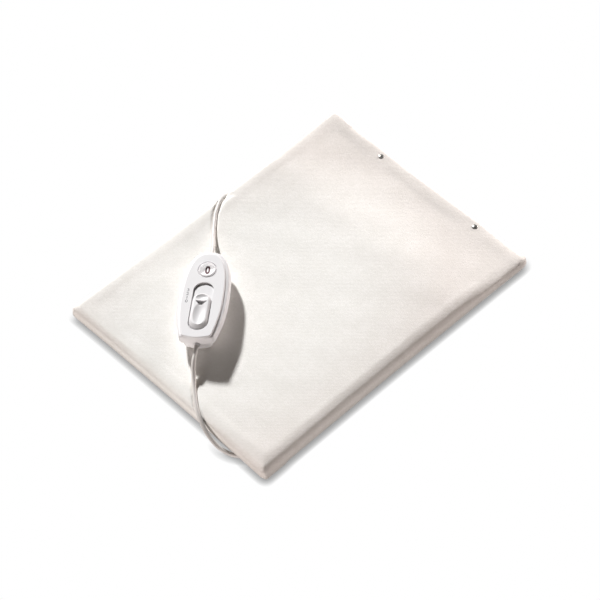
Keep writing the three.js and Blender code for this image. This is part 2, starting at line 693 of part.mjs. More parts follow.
function makeBottomShell(group) {
  const top = partingHeight - fit;
  const outer = caseLoft(shellProfile);
  const inner = caseLoft(shellInside);
  const floor = shellWall - 0.5;
  let shell = outer.subtract(inner);
  for (const [x, y] of screwPlaces) {
    const boss = disc(bossRadius + 0.4, floor, top, x, y, 10).intersect(outer);
    const counterbore = disc(screwHeadRadius + fit, -1, screwSeat, x, y, 12);
    shell = shell.add(boss).subtract(counterbore).subtract(disc(screwRadius + fit, 0, top + 1, x, y, 8));
  }
  for (const y of clampPlaces) {
    for (const side of [1, -1]) {
      const post = disc(clampPostRadius, floor, clampLow - fit, side * clampScrewX, y, 10).intersect(outer);
      const bore = disc(clampScrewRadius + 0.15, partingHeight - 4, clampLow, side * clampScrewX, y, 8);
      shell = shell.add(post).subtract(bore);
    }
  }
  for (const y of [boardTail + 5, boardNose - 6]) {
    for (const side of [1, -1]) {
      shell = shell.add(disc(1.8, floor, boardLow - fit, side * (boardHalfWidth - 2.5), y, 8));
    }
  }
  const axlePost = disc(3, floor, pinionLow - fit, 0, wheelPlace, 10);
  shell = shell.add(axlePost).subtract(disc(pinRadius + 0.15, 6, pinionLow, 0, wheelPlace, 8));
  const railTail = detentPlace - 6;
  const railNose = detentPlace + travel + 6;
  let rail = box(railX - railThickness, railX, railTail, railNose, floor, carriageTop - 1);
  for (let stage = 0; stage <= stages; stage++) {
    const y = detentPlace + stage * stagePitch;
    rail = rail.subtract(disc(railNotch, carriageLow - 1, carriageTop, railX, y, 8));
  }
  shell = shell.add(rail).subtract(cordHoles());
  piece(group, "bottom_shell", shell, "whitePlastic");
}

// Thumb slide: a rounded bar that falls away at its tail. A thumb dish and a long thumb trough lie on the two
// sides of its crest, and a short steep hollow leads from the crest into the trough.
function makeKnob(group) {
  const width = recessWidth - 2 * knobSideGap;
  const low = recessLow + knobEndGap;
  const high = recessTop - knobEndGap - travel;
  const base = recessBase + fit;
  const [knobHeight, , tailRun] = knobProfile[knobProfile.length - 1];
  const top = base + knobHeight;
  const tailRim = low + tailRun;
  const plan = stadiumShape(width, low, high).getPoints(8).slice(0, -1);
  let knob = loft(knobProfile.map(([rise, inset, tail]) =>
    drawnIn(plan, width / 2, low, high, base + rise, inset, tail)));
  const crest = high - crestRoom;
  const hollow = (radius, depth, noseEnd, tailEnd) => {
    const rim = Math.sqrt(2 * radius * depth - depth ** 2);
    const stretch = (noseEnd - tailEnd) / (2 * rim);
    return solid(
      new THREE.SphereGeometry(radius, 28, 16).scale(1, stretch, 1)
        .translate(0, (noseEnd + tailEnd) / 2, top - depth + radius),
    );
  };
  const steep = 10;
  knob = knob.subtract(hollow(21, 1.4, high - 0.8, crest)).subtract(hollow(10, 2.2, crest, crest - steep));
  knob = knob.subtract(hollow(14, 1.7, crest - steep / 4, tailRim));
  const stem = box(
    -stemWidth / 2, stemWidth / 2, stemPlace - stemLength / 2, stemPlace + stemLength / 2,
    carriageLow + 1.2, base + 0.5,
  );
  piece(group, "slider_knob", knob.add(stem), "whitePlastic");
}

function rackTooth(y) {
  const half = toothShare * toothPitch * 0.5;
  const slant = 0.3;
  const shape = new THREE.Shape();
  shape.moveTo(pinionPitch + toothFall + 0.2, y - half - slant);
  shape.lineTo(pinionPitch + toothFall + 0.2, y + half + slant);
  shape.lineTo(pinionPitch - toothRise, y + half - slant * 0.6);
  shape.lineTo(pinionPitch - toothRise, y - half + slant * 0.6);
  shape.closePath();
  const settings = { depth: rackHigh - rackLow, bevelEnabled: false };
  return solid(new THREE.ExtrudeGeometry(shape, settings).translate(0, 0, rackLow));
}

// Carriage under the recess: it holds the knob's stem and carries the rack for the indicator wheel.
function makeCarriage(group) {
  const half = 9;
  const tail = stemPlace - stemLength / 2 - 5;
  const nose = stemPlace + stemLength / 2 + 5;
  const room = stemLength / 2 + fit;
  let carriage = box(-half, half, tail, nose, carriageLow, carriageTop);
  const slotHalf = stemWidth / 2 + fit;
  carriage = carriage.subtract(
    box(-slotHalf, slotHalf, stemPlace - room, stemPlace + room, carriageLow + 0.9, carriageTop + 1),
  );
  const rackRoot = pinionPitch + toothFall;
  const rackTip = wheelPlace + 4.5;
  carriage = carriage.add(box(rackRoot, half, nose - 4, rackTip, rackLow, rackHigh));
  const teeth = Math.floor((travel + 6) / toothPitch);
  for (let i = 0; i <= teeth; i++) {
    const y = wheelPlace + toothPitch / 2 + toothPitch - i * toothPitch;
    carriage = carriage.add(rackTooth(y));
  }
  piece(group, "slider_carriage", carriage, "blackPlastic");

  const legX = 1.5;
  const padTopHeight = boardTop + 2 * fit;
  const wiperLow = carriageLow - fit - 0.4;
  let wiper = box(-3, 3, tail + 1, nose - 1, wiperLow, carriageLow - fit);
  for (const y of [tail + 2, nose - 2]) {
    wiper = wiper.add(box(-legX, legX, y - 1, y + 1, padTopHeight + 2 * fit, wiperLow + 0.2));
  }
  piece(group, "contact_wiper", wiper, "brass");
  const strip = (y0, y1) => box(-contactHalf, contactHalf, y0, y1, boardTop + fit, padTopHeight);
  piece(group, "common_contact", strip(tail, tail + travel + 4), "brass");
  for (let stage = 1; stage <= stages; stage++) {
    const y = nose - 2 + stage * stagePitch;
    const half = stagePitch / 2 - 0.5;
    piece(group, `stage_contact_${stage}`, strip(y - half, y + half), "brass");
  }

  // Leaf that clicks into the rail's notches, drawn in the state in which it passes over the rail.
  const leaf = new THREE.Shape();
  const seat = -half - fit;
  const tip = railX + fit;
  leaf.moveTo(seat, detentPlace - 5);
  leaf.lineTo(seat, detentPlace + 5);
  leaf.lineTo(seat - 0.4, detentPlace + 5);
  leaf.lineTo(seat - 0.7, detentPlace + 2);
  leaf.lineTo(tip, detentPlace);
  leaf.lineTo(seat - 0.7, detentPlace - 2);
  leaf.lineTo(seat - 0.4, detentPlace - 5);
  leaf.closePath();
  const leafDepth = carriageTop - carriageLow - 0.8;
  const spring = solid(new THREE.ExtrudeGeometry(leaf, { depth: leafDepth, bevelEnabled: false }));
  piece(group, "detent_spring", spring.translate([0, 0, carriageLow + 0.4]), "steel");
}

// Indicator wheel: a number disc with a pinion under it, turning on a pin.
function makeIndicator(group) {
  const root = pinionPitch - toothFall;
  let pinion = disc(root, pinionLow, wheelLow + 0.3, 0, 0, 24);
  for (let i = 0; i < pinionTeeth; i++) {
    const half = toothShare * toothPitch * 0.5;
    const shape = new THREE.Shape();
    shape.moveTo(root - 0.4, -half * 1.25);
    shape.lineTo(pinionPitch, -half);
    shape.lineTo(pinionPitch + toothRise, -half * 0.5);
    shape.lineTo(pinionPitch + toothRise, half * 0.5);
    shape.lineTo(pinionPitch, half);
    shape.lineTo(root - 0.4, half * 1.25);
    shape.closePath();
    const settings = { depth: wheelLow + 0.3 - pinionLow, bevelEnabled: false };
    const tooth = new THREE.ExtrudeGeometry(shape, settings).rotateZ((2 * Math.PI * i) / pinionTeeth);
    pinion = pinion.add(solid(tooth.translate(0, 0, pinionLow)));
  }
  const wheel = disc(wheelRadius, wheelLow, wheelTop, 0, 0, 32).add(pinion)
    .subtract(disc(pinRadius + fit, pinionLow - 1, wheelTop + 1, 0, 0));
  piece(group, "indicator_wheel", wheel.translate([0, wheelPlace, 0]), "whitePlastic");
  piece(group, "wheel_pin", disc(pinRadius, 6 + fit, wheelTop, 0, wheelPlace, 12), "steel");

  const flangeHigh = ceiling - fit;
  const seat = flangeHigh - lensFlange;
  const rim = faceTop + lensProud;
  const flangeRadius = lensRadius + 1.4;
  const profile = [
    [0, seat], [flangeRadius, seat], [flangeRadius, flangeHigh], [lensRadius, flangeHigh],
    [lensRadius, rim - 0.5], [lensRadius - 0.5, rim], [lensRadius * 0.6, rim + lensDome * 0.65],
    [0, rim + lensDome],
  ];
  const lens = solid(turned(profile, 24).rotateX(Math.PI / 2).translate(0, windowPlace, 0));
  piece(group, "window_lens", lens, "clearPlastic");
}

function makeBoard(group) {
  const board = box(-boardHalfWidth, boardHalfWidth, boardTail, boardNose, boardLow, boardTop)
    .subtract(disc(3 + fit, boardLow - 1, boardTop + 1, 0, wheelPlace));
  piece(group, "circuit_board", board, "board");
  const seat = boardTop + fit;
  const lampRadius = 2.5;
  const lampProfile = [[0, 0], [lampRadius, 0], [lampRadius, 2.6], [lampRadius * 0.75, 4.2], [0, 4.9]];
  const lamp = turned(lampProfile).rotateX(Math.PI / 2).translate(0, windowPlace - 1, seat);
  piece(group, "indicator_lamp", solid(lamp), "clearPlastic");
  const fuseRadius = 2.4;
  const fuse = new THREE.CylinderGeometry(fuseRadius, fuseRadius, 15, 12).translate(-6, 9, seat + fuseRadius);
  piece(group, "thermal_fuse", solid(fuse), "brass");
  const capacitorSide = contactHalf + 2 * fit;
  const capacitor = box(capacitorSide, capacitorSide + 5.6, 2, 14, seat, seat + 5.6);
  piece(group, "capacitor", capacitor, "greyPlastic");
  piece(group, "power_diode", box(-9.8, -5, -14, -4, seat, seat + 4.2), "blackPlastic");
}

// Cord bushes, clamps and screws.
function makeFastenings(group) {
  const names = ["nose", "tail"];
  clampPlaces.forEach((y, end) => {
    const way = Math.sign(y);
    const start = halfCaseY + bushProud - bushLength;
    const inner = [cordRadius + fit, bushRadius * 0.86, bushRadius, bushRadius, bushRadius * 0.86];
    const bush = solid(turned([
      [inner[0], 0], [inner[1], 0], [inner[2], 5], [inner[3], bushLength - 1.6], [inner[4], bushLength],
      [inner[0], bushLength], [inner[0], 0],
    ], 20).translate(0, start, 0));
    const turnedBush = way > 0 ? bush : bush.rotate([0, 0, 180]);
    piece(group, `${names[end]}_bush`, turnedBush.translate([0, 0, partingHeight]), "whitePlastic");
    const clampTop = clampLow + clampThickness;
    const barHalf = clampScrewX + 2.5;
    let bar = box(-barHalf, barHalf, y - clampWidth / 2, y + clampWidth / 2, clampLow, clampTop);
    for (const side of [1, -1]) {
      const hole = disc(clampScrewRadius + fit, clampLow - 1, clampTop + 1, side * clampScrewX, y, 8);
      bar = bar.subtract(hole);
    }
    piece(group, `${names[end]}_clamp`, bar, "greyPlastic");
    [1, -1].forEach((side, i) => {
      const headLow = clampTop + fit;
      const head = disc(2.1, headLow, headLow + 1, side * clampScrewX, y);
      const shank = disc(clampScrewRadius, partingHeight - 3, headLow + 0.2, side * clampScrewX, y, 8);
      piece(group, `${names[end]}_clamp_screw_${i + 1}`, head.add(shank), "steel");
    });
  });
  screwPlaces.forEach(([x, y], i) => {
    const head = disc(screwHeadRadius, screwSeat - fit - 1.9, screwSeat - fit, x, y);
    const shank = disc(screwRadius, screwSeat - fit - 0.5, screwEnd, x, y, 8);
    piece(group, `case_screw_${i + 1}`, head.add(shank), "steel");
  });
}

function makeController() {
  const group = new THREE.Group();
  group.position.copy(casePlace);
  group.rotation.copy(caseTurn);
  object.add(group);
  makeBottomShell(group);
  makeTopCover(group);
  makeKnob(group);
  makeCarriage(group);
  makeIndicator(group);
  makeBoard(group);
  makeFastenings(group);
}

// Coil of the mains lead: in along the lower layer, up at the innermost half turn, out along the upper one.
const coilHeight = tieThickness + fit + cordRadius;
const coilStart = 0;
const coilSteps = 16;

const coilMiddle = coilTurns * 2 * Math.PI;
const coilEnd = 2 * coilMiddle + Math.PI / 2;

function coilPoint(turn) {
  const radius = coilInner + (coilPitch * Math.abs(turn - coilMiddle)) / (2 * Math.PI);
  const climb = smooth(coilMiddle - Math.PI / 2, coilMiddle + Math.PI / 2, turn);
  const angle = coilStart - turn;
  const x = coilCentre.x + radius * Math.cos(angle);
  const y = coilCentre.y + radius * Math.sin(angle);
  return new THREE.Vector3(x, y, coilHeight + coilPitch * climb);
}

// The coil's points, with a straight stretch of one diameter at each end.
function coilPoints() {
  const steps = Math.round((coilEnd / (2 * Math.PI)) * coilSteps);
  const points = Array.from({ length: steps + 1 }, (_, i) => coilPoint((coilEnd * i) / steps));
  const straight = (turn, inward) => {
    const away = coilPoint(turn).sub(coilPoint(turn + inward)).normalize();
    return coilPoint(turn).addScaledVector(away, cordDiameter);
  };
  const small = 0.001;
  return [straight(0, small), ...points, straight(coilEnd, -small)];
}

// Least gap between one stretch of the coil and another.
function leastGap(points) {
  const apart = coilSteps / 2;
  let least = Infinity;
  points.forEach((a, i) => {
    for (let j = i + apart; j < points.length; j++) least = Math.min(least, a.distanceTo(points[j]));
  });
  return least - cordDiameter;
}

function sweptCoil(points, sides) {
  const up = new THREE.Vector3(0, 0, 1);
  const rings = points.map((p, i) => {
    const before = points[Math.max(i - 1, 0)];
    const after = points[Math.min(i + 1, points.length - 1)];
    const along = after.clone().sub(before).normalize();
    const aside = along.clone().cross(up).normalize();
    const over = aside.clone().cross(along);
    return Array.from({ length: sides }, (_, k) => {
      const angle = (2 * Math.PI * k) / sides;
      const offset = aside.clone().multiplyScalar(cordRadius * Math.cos(angle));
      return p.clone().add(offset).addScaledVector(over, cordRadius * Math.sin(angle));
    });
  });
  return loft(rings);
}

function makeCords() {
  const cordSides = 10;
  const routeTube = (route) => tube(route, cordRadius, cordSides, Math.round(route.length * 1.4));
  piece(object, "mains_lead", routeTube(mainsRoute), "whiteCord");
  piece(object, "pad_lead", routeTube(padLeadRoute), "whiteCord");
  const coil = coilPoints();
  console.log("least gap of the coil to itself", leastGap(coil).toFixed(2), "mm");
  piece(object, "mains_coil", sweptCoil(coil, 6), "whiteCord");

  const outer = coilInner + coilPitch * (coilTurns + 0.25) + cordRadius + fit;
  const inner = coilInner - cordRadius - fit;
  const top = coilHeight + coilPitch + cordRadius + fit;
  const loop = box(
    coilCentre.x - outer - tieThickness, coilCentre.x - inner + tieThickness,
    coilCentre.y - tieWidth / 2, coilCentre.y + tieWidth / 2, 0, top + tieThickness,
  );
  const room = box(
    coilCentre.x - outer, coilCentre.x - inner,
    coilCentre.y - tieWidth, coilCentre.y + tieWidth, tieThickness, top,
  );
  piece(object, "coil_tie", loop.subtract(room), "blackPlastic");
  makePlug(coil[coil.length - 1], coil[coil.length - 2]);
}

// Flat plug on the end of the coil, lying on its broad side.
function makePlug(end, before) {
  const group = new THREE.Group();
  const along = end.clone().sub(before);
  group.position.set(end.x, end.y, 0);
  group.rotation.z = Math.atan2(along.y, along.x);
  object.add(group);
  const bootRadius = cordRadius + 0.6;
  const bootEnd = 5.6;
  const boot = solid(
    turned([[0, 0], [bootRadius, 0], [bootEnd, plugBoot], [0, plugBoot]], 16)
      .rotateZ(-Math.PI / 2).translate(fit, 0, end.z),
  );
  const shape = new THREE.Shape();
  const bodyStart = plugBoot - 2;
  const shoulder = plugWidth * 0.26;
  shape.moveTo(bodyStart, -shoulder);
  const bodyEnd = bodyStart + plugLength;
  const bendStart = bodyStart + plugLength * 0.3;
  const bendEnd = bodyStart + plugLength * 0.4;
  const plugHalf = plugWidth / 2;
  shape.bezierCurveTo(bendStart, -shoulder, bendEnd, -plugHalf, bodyEnd, -plugHalf);
  shape.lineTo(bodyEnd, plugHalf);
  shape.bezierCurveTo(bendEnd, plugHalf, bendStart, shoulder, bodyStart, shoulder);
  shape.closePath();
  const edge = 2;
  const bevel = { bevelThickness: edge, bevelSize: edge, bevelOffset: -edge, bevelSegments: 2 };
  const settings = { depth: plugThickness - 2 * edge, curveSegments: 8, ...bevel };
  const body = solid(new THREE.ExtrudeGeometry(shape, settings).translate(0, 0, edge));
  const pinSeat = 4;
  let plug = body.add(boot);
  [1, -1].forEach((side, i) => {
    const pin = (radius, from, to) => solid(
      new THREE.CylinderGeometry(radius, radius, to - from, 12).rotateZ(Math.PI / 2)
        .translate((from + to) / 2, side * plugPinSpacing / 2, plugThickness / 2),
    );
    plug = plug.subtract(pin(plugPinRadius + fit, bodyEnd - pinSeat, bodyEnd + 1));
    const shaft = pin(plugPinRadius, bodyEnd - pinSeat + fit, bodyEnd + plugPinLength);
    piece(group, `plug_pin_${i + 1}`, shaft, "nickel");
  });
  piece(group, "plug_body", plug, "whitePlastic");
}

makePad();
makeController();
makeCords();

export default object;
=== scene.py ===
"""Heating pad with a slide controller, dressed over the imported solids. Metres, +Z up."""
import math

import bpy
import numpy as np
from mathutils import Euler, Matrix, Vector


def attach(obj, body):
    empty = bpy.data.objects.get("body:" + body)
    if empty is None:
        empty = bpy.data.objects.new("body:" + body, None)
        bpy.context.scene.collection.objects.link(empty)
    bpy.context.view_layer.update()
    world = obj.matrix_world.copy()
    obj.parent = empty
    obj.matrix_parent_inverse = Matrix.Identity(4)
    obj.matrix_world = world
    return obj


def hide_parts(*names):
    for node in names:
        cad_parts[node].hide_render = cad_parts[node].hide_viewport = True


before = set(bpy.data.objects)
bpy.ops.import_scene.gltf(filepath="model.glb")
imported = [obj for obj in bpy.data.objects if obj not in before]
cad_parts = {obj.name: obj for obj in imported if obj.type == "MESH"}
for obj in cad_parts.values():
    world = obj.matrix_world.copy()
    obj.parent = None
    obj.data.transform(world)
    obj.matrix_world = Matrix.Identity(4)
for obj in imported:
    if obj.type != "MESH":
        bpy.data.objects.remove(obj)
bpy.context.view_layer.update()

# Sizes in millimetres. The pad, dressed a little fuller than its solids. A pair like NEAR_SIDE says where a
# change over the pad starts and where it is complete.
MM = 0.001
PAD_HALF = (200, 150)
PAD_CORNERS = {(1, 1): 3, (-1, 1): 3, (-1, -1): 5, (1, -1): 14}
PAD_GROWTH = (3, 4)
PAD_SHIFT = (2.8, 1)
PAD_DRAW_IN = 1.9
RIM_NEAR = 17.5
RIM_FAR = 20
RIM_CLIMB = (-120, 120)
CROWN = 21.9
CROWN_FULLNESS = 0.6
HOLLOW_RISE = 14.5
HOLLOW_SPREAD = (0.2, 0.85)
NEAR_SIDE = (60, 140)
LEFT_SIDE = (110, 190)
EDGE_MIDDLE = 6
EDGE_MIDDLE_NEAR = 5
EDGE_RUN = 9
EDGE_RUN_NEAR = 22
EDGE_RUN_HEM = 4
EDGE_FULLNESS = 2.6
HEM_HEIGHT = 13
HEM_END_RISE = 3.5
HEM_START = 85
HEM_FLAT = 188
HEM_REACH = 45
HEM_END = 148
OPENING = (174, 212, -125, 125)
OPENING_LOW = 4
OPENING_HIGH = 5.2
STUDS = [(192.6, 68.6), (192.6, -77.4)]
STUD_RADIUS = 3.4
RIVET_HEIGHT = 1.3
RIVET_RADIUS = 5
RIVET_FELT = 7

# How the soft pad gives: edges that fill out, loose stuffing, and the weight of what lies on it.
SWELL_PRESSURE = 1.5
SWELL_FRAMES = 20
SWELL_MOST = 0.4
EDGE_HELD = (14, 34)
STUD_HOLD = 8
LUMPS = 0.18
LUMPS_START = 25
SAG = 2
SAG_REACH = 36
SAG_SIDE = 20
CASE_SINKS = 0.25

# Cords, coil and plug.
CORD_RADIUS = 2.35
CORD_ROOM = 0.25
CORD_DROPS = (9, 14)
CORD_LIES = 4.2
CORD_UNDER = 6.5
MAINS_FELT = 200
COIL_CENTRE = (52, 8)
COIL_INNER = 20
COIL_PITCH = 5.3
COIL_LOW = 3.15
COIL_LAYER_TURNS = 4
PLUG_LEAD = 4.7
PLUG_SIDE = (22, 32.2, 35.6, 56)
PLUG_NECK = 9.1
PLUG_WIDEST = 17.5
BOOT_RADIUS = 5.6
BOOT_HEIGHT = 8.45
PIN_RADIUS = 2
PIN_SIDE = 9.3
PIN_HEIGHT = 6.85
SLEEVE_END = 66.02

# Controller.
CASE_HALF = (27.5, 59.75)
CASE_WIDEST = -6
CASE_TAIL_HALF = 20.25
CASE_TAIL_CORNER = 5
CASE_TAIL_BOW = 2
NOSE_FULLNESS = 2.6
TAIL_FULLNESS = 5
SHELL_UNDERSIDE = [(0, 12), (1.6, 10.2), (1.7, 9.4), (4.8, 8.4), (5.2, 5.4), (6, 2.6), (7.4, 0.8), (9.5, 0)]
PARTING = 10.5
FACE_TOP = 22
CORD_HOLE = 3.9
SCREWS = [(15.5, -4), (-15.5, -4), (13, -43.75), (-13, -43.75)]
BOSS_RADIUS = 3.7
BORE_RADIUS = 2.9
RECESS = (22, -48.75, 15.35)
RECESS_FLOOR = 20.1
PAN_LOW = 19.1
WINDOW_Y = 33.45
WINDOW_RADIUS = 10.1
LENS_FLANGE = 11.2
LENS_BORE = 9
LENS_LIP = 2.7
LENS_LIP_TOP = 20
KNOB = (20.4, -48.25, -0.15)
KNOB_BASE = 20.7
KNOB_TOP = 23.7
KNOB_TAIL_RUN = 5.9
CREST_Y = -10.65
NOTCH_LENGTH = 6.4
NOTCH_DEPTH = 2.6
STEM_Y = -26.25
WHEEL_Y = 22.45
WHEEL_TOP = 18.8
DIGIT_CIRCLE = 11.6
MARK_X = -16.6
PRINT_LIFT = 0.03
STAGE_PITCH = 5

CASE = Matrix.Translation(Vector((-96.5, 47.2, 22.445)) * MM) @ Euler(
    (0, math.radians(-5), math.radians(-50.5))
).to_matrix().to_4x4()


# Camera: where the photographer stood, by the pad's four corners.
CAMERA_ANGLES = (-41.9217, 52.4425, -2.6305)
CAMERA_AIM = (-7.759, -6.098, 0)
CAMERA_DISTANCE = 2607.45
SENSOR = 36
FOCAL_PIXELS = 2391.9
PICTURE_PIXELS = 600


def add_camera():
    turn, height, roll = (math.radians(a) for a in CAMERA_ANGLES)
    back = Vector((math.sin(turn) * math.cos(height), -math.cos(turn) * math.cos(height), math.sin(height)))
    lens = bpy.data.cameras.new("camera")
    lens.sensor_width = SENSOR
    lens.lens = SENSOR * FOCAL_PIXELS / PICTURE_PIXELS
    camera = bpy.data.objects.new("camera", lens)
    bpy.context.scene.collection.objects.link(camera)
    place = Vector(CAMERA_AIM) * MM + back * CAMERA_DISTANCE * MM
    aim = (-back).to_track_quat("-Z", "Y").to_matrix().to_4x4()
    camera.matrix_world = Matrix.Translation(place) @ aim @ Matrix.Rotation(roll, 4, "Z")
    bpy.context.scene.camera = camera


add_camera()


# Colours and materials.
def ink(code):
    """A colour written as sRGB hex, in linear light."""
    shares = [int(code[i:i + 2], 16) / 255 for i in (0, 2, 4)]
    return [c / 12.92 if c <= 0.04045 else ((c + 0.055) / 1.055) ** 2.4 for c in shares] + [1]


def add(material, kind, inputs, **settings):
    """A node with its settings; each input is a value or another node's output."""
    made = material.node_tree.nodes.new(kind)
    for name, value in settings.items():
        setattr(made, name, value)
    for name, value in inputs.items():
        if isinstance(value, bpy.types.NodeSocket):
            material.node_tree.links.new(value, made.inputs[name])
        else:
            made.inputs[name].default_value = value
    return made


def new_material(name):
    material = bpy.data.materials.new(name)
    material.use_nodes = True
    material.node_tree.nodes.clear()
    return material


def close(material, surface):
    add(material, "ShaderNodeOutputMaterial", {"Surface": surface})
    return material


def grain(material, size, detail=2, rough=0.5, stretch=(1, 1, 1)):
    """Noise whose lumps are about size metres, read in the object's own place."""
    place = add(material, "ShaderNodeTexCoord", {}).outputs["Object"]
    scaled = add(material, "ShaderNodeMapping", {"Vector": place, "Scale": stretch}).outputs["Vector"]
    inputs = {"Vector": scaled, "Scale": 1 / size, "Detail": detail, "Roughness": rough}
    return add(material, "ShaderNodeTexNoise", inputs).outputs["Fac"]


def ramp(material, value, low, high, start=0, end=1):
    """A number that runs from start to end while a value runs from low to high."""
    inputs = {"Value": value, "From Min": low, "From Max": high, "To Min": start, "To Max": end}
    return add(material, "ShaderNodeMapRange", inputs).outputs["Result"]


def between(material, share, low, high):
    """A number that runs from low to high with a share from 0.3 to 0.7, where noise mostly lies."""
    return ramp(material, share, 0.3, 0.7, low, high)


def reckon(material, operation, first, second):
    return add(material, "ShaderNodeMath", {0: first, 1: second}, operation=operation).outputs["Value"]


def tinted(material, share, first, second):
    """A colour between two others, each written as hex or given as another node's output, by a share."""
    mixed = add(material, "ShaderNodeMix", {}, data_type="RGBA")
    colours = [socket for socket in mixed.inputs if socket.type == "RGBA"]
    for socket, colour in zip(colours, (first, second)):
        if isinstance(colour, str):
            socket.default_value = ink(colour)
        else:
            material.node_tree.links.new(colour, socket)
    material.node_tree.links.new(share, mixed.inputs["Factor"])
    return next(socket for socket in mixed.outputs if socket.type == "RGBA")


def relief(material, height, depth, strength=1):
    inputs = {"Height": height, "Distance": depth, "Strength": strength}
    return add(material, "ShaderNodeBump", inputs).outputs["Normal"]


# Painted light in the cloth's colour: a painted pool of light, lightest round one place and greyer and warmer
# away from it, and painted shade, darker low on its sides. The lamps alone don't give that, so the flannel's
# colour has it.
PAINTED_LIGHT_POOL_AT = (-72, 18)
PAINTED_POOL_FALLOFF = (0.4, 1.6)
PAINTED_SIDE_SHADE_TOP = 12


def flannel():
    """Brushed flannel: a fine twill raised to a short nap. The nap scatters light evenly, mottles where its
    fibres lie in other directions, and leaves the weave only faintly felt under it."""
    m = new_material("brushed_flannel")
    place = add(m, "ShaderNodeTexCoord", {}).outputs["Object"]
    nap = grain(m, 0.0009, 4, 0.65)
    tufts = grain(m, 0.0032, 3, 0.6)
    lie = grain(m, 0.02, 4, 0.55)
    # Real twill ribs are finer; these are nearly 2 mm apart so that they don't shimmer.
    ribs = add(m, "ShaderNodeTexWave", {"Vector": place, "Scale": 240, "Distortion": 1.6, "Detail": 2},
               wave_type="BANDS", bands_direction="DIAGONAL").outputs["Fac"]
    height = reckon(m, "ADD", reckon(m, "ADD", nap, tufts), reckon(m, "MULTIPLY", ribs, 0.25))
    spread = ramp(m, reckon(m, "MULTIPLY", lie, tufts), 0.15, 0.38)
    # Painted pool of light: the cloth's colour turns greyer and warmer away from one place.
    share = add(m, "ShaderNodeMapping", {
        "Vector": place,
        "Location": [-at / half for at, half in zip(PAINTED_LIGHT_POOL_AT, PAD_HALF)] + [0],
        "Scale": [1 / (half * MM) for half in PAD_HALF] + [0],
    }).outputs["Vector"]
    away = add(m, "ShaderNodeVectorMath", {0: share, 1: share}, operation="DOT_PRODUCT").outputs["Value"]
    pool_falloff = ramp(m, away, *PAINTED_POOL_FALLOFF)
    cloth = tinted(m, pool_falloff, tinted(m, spread, "F7F5F0", "FDFBF7"), tinted(m, spread, "EAE3DD", "F0E9E4"))
    # Painted shade: the cloth's colour darkens low on its sides, towards the table.
    level = add(m, "ShaderNodeSeparateXYZ", {"Vector": place}).outputs["Z"]
    out_of_side_shade = ramp(m, level, 0, PAINTED_SIDE_SHADE_TOP * MM)
    shader = add(m, "ShaderNodeBsdfPrincipled", {
        "Base Color": tinted(m, out_of_side_shade, "ABA7A4", cloth),
        "Roughness": between(m, nap, 0.85, 0.98),
        "Specular IOR Level": 0.15,
        "Sheen Weight": 0.25,
        "Sheen Roughness": 0.5,
        "Normal": relief(m, height, 0.0004, 0.45),
    })
    return close(m, shader.outputs[0])


def moulded(name, light, dark, gloss, texture=0.0003, depth=0.00002):
    """Injection-moulded plastic: even colour, a satin skin with the mould's fine spark-eroded grain, and
    slightly shinier patches where hands have rubbed it."""
    m = new_material(name)
    handled = grain(m, 0.012, 3, 0.6)
    shader = add(m, "ShaderNodeBsdfPrincipled", {
        "Base Color": tinted(m, handled, dark, light),
        "Roughness": between(m, handled, gloss - 0.05, gloss + 0.07),
        "IOR": 1.54,
        "Normal": relief(m, grain(m, texture, 2), depth, 0.5),
    })
    return close(m, shader.outputs[0])


def extruded_pvc():
    """Soft PVC flex sheath: satin, drawn smooth through a die, with faint marks from handling."""
    m = new_material("pvc_flex")
    shader = add(m, "ShaderNodeBsdfPrincipled", {
        "Base Color": tinted(m, grain(m, 0.006, 3), "CDC8C4", "D6D2CE"),
        "Roughness": between(m, grain(m, 0.003, 3), 0.38, 0.52),
        "IOR": 1.53,
        "Normal": relief(m, grain(m, 0.0012, 2), 0.00004, 0.4),
    })
    return close(m, shader.outputs[0])


def plated(name, light, dark, gloss, scratch):
    """Plated metal: a bright skin with fine rubbing marks and a slightly cloudy tone."""
    m = new_material(name)
    cloud = grain(m, 0.002, 3)
    rubbed = grain(m, scratch, 3, 0.6, (1, 6, 1))
    shader = add(m, "ShaderNodeBsdfPrincipled", {
        "Base Color": tinted(m, cloud, dark, light),
        "Metallic": 1.0,
        "Roughness": between(m, rubbed, gloss - 0.06, gloss + 0.1),
        "Normal": relief(m, rubbed, 0.00001, 0.4),
    })
    return close(m, shader.outputs[0])


def laminate():
    """Paper laminate board: brown resin with its pressed fibres just visible."""
    m = new_material("paper_laminate")
    fibres = grain(m, 0.0008, 4, 0.7, (1, 5, 1))
    shader = add(m, "ShaderNodeBsdfPrincipled", {
        "Base Color": tinted(m, fibres, "7A5A30", "94703F"),
        "Roughness": between(m, fibres, 0.45, 0.6),
        "Normal": relief(m, fibres, 0.00004, 0.4),
    })
    return close(m, shader.outputs[0])


def clear_acrylic():
    """Clear acrylic: lets nearly all light straight through a thin wall, and shines like glass where it is
    seen edge on."""
    m = new_material("clear_acrylic")
    haze = grain(m, 0.001, 2)
    through = add(m, "ShaderNodeBsdfTransparent", {"Color": ink("FAFAFA")})
    shine = add(m, "ShaderNodeBsdfPrincipled", {
        "Base Color": ink("F4F4F5"),
        "Roughness": between(m, haze, 0.04, 0.08),
        "IOR": 1.49,
    })
    facing = add(m, "ShaderNodeLayerWeight", {"Blend": 0.5}).outputs["Facing"]
    edge = reckon(m, "POWER", facing, 3)
    mixed = add(m, "ShaderNodeMixShader", {0: edge, 1: through.outputs[0], 2: shine.outputs[0]})
    return close(m, mixed.outputs[0])


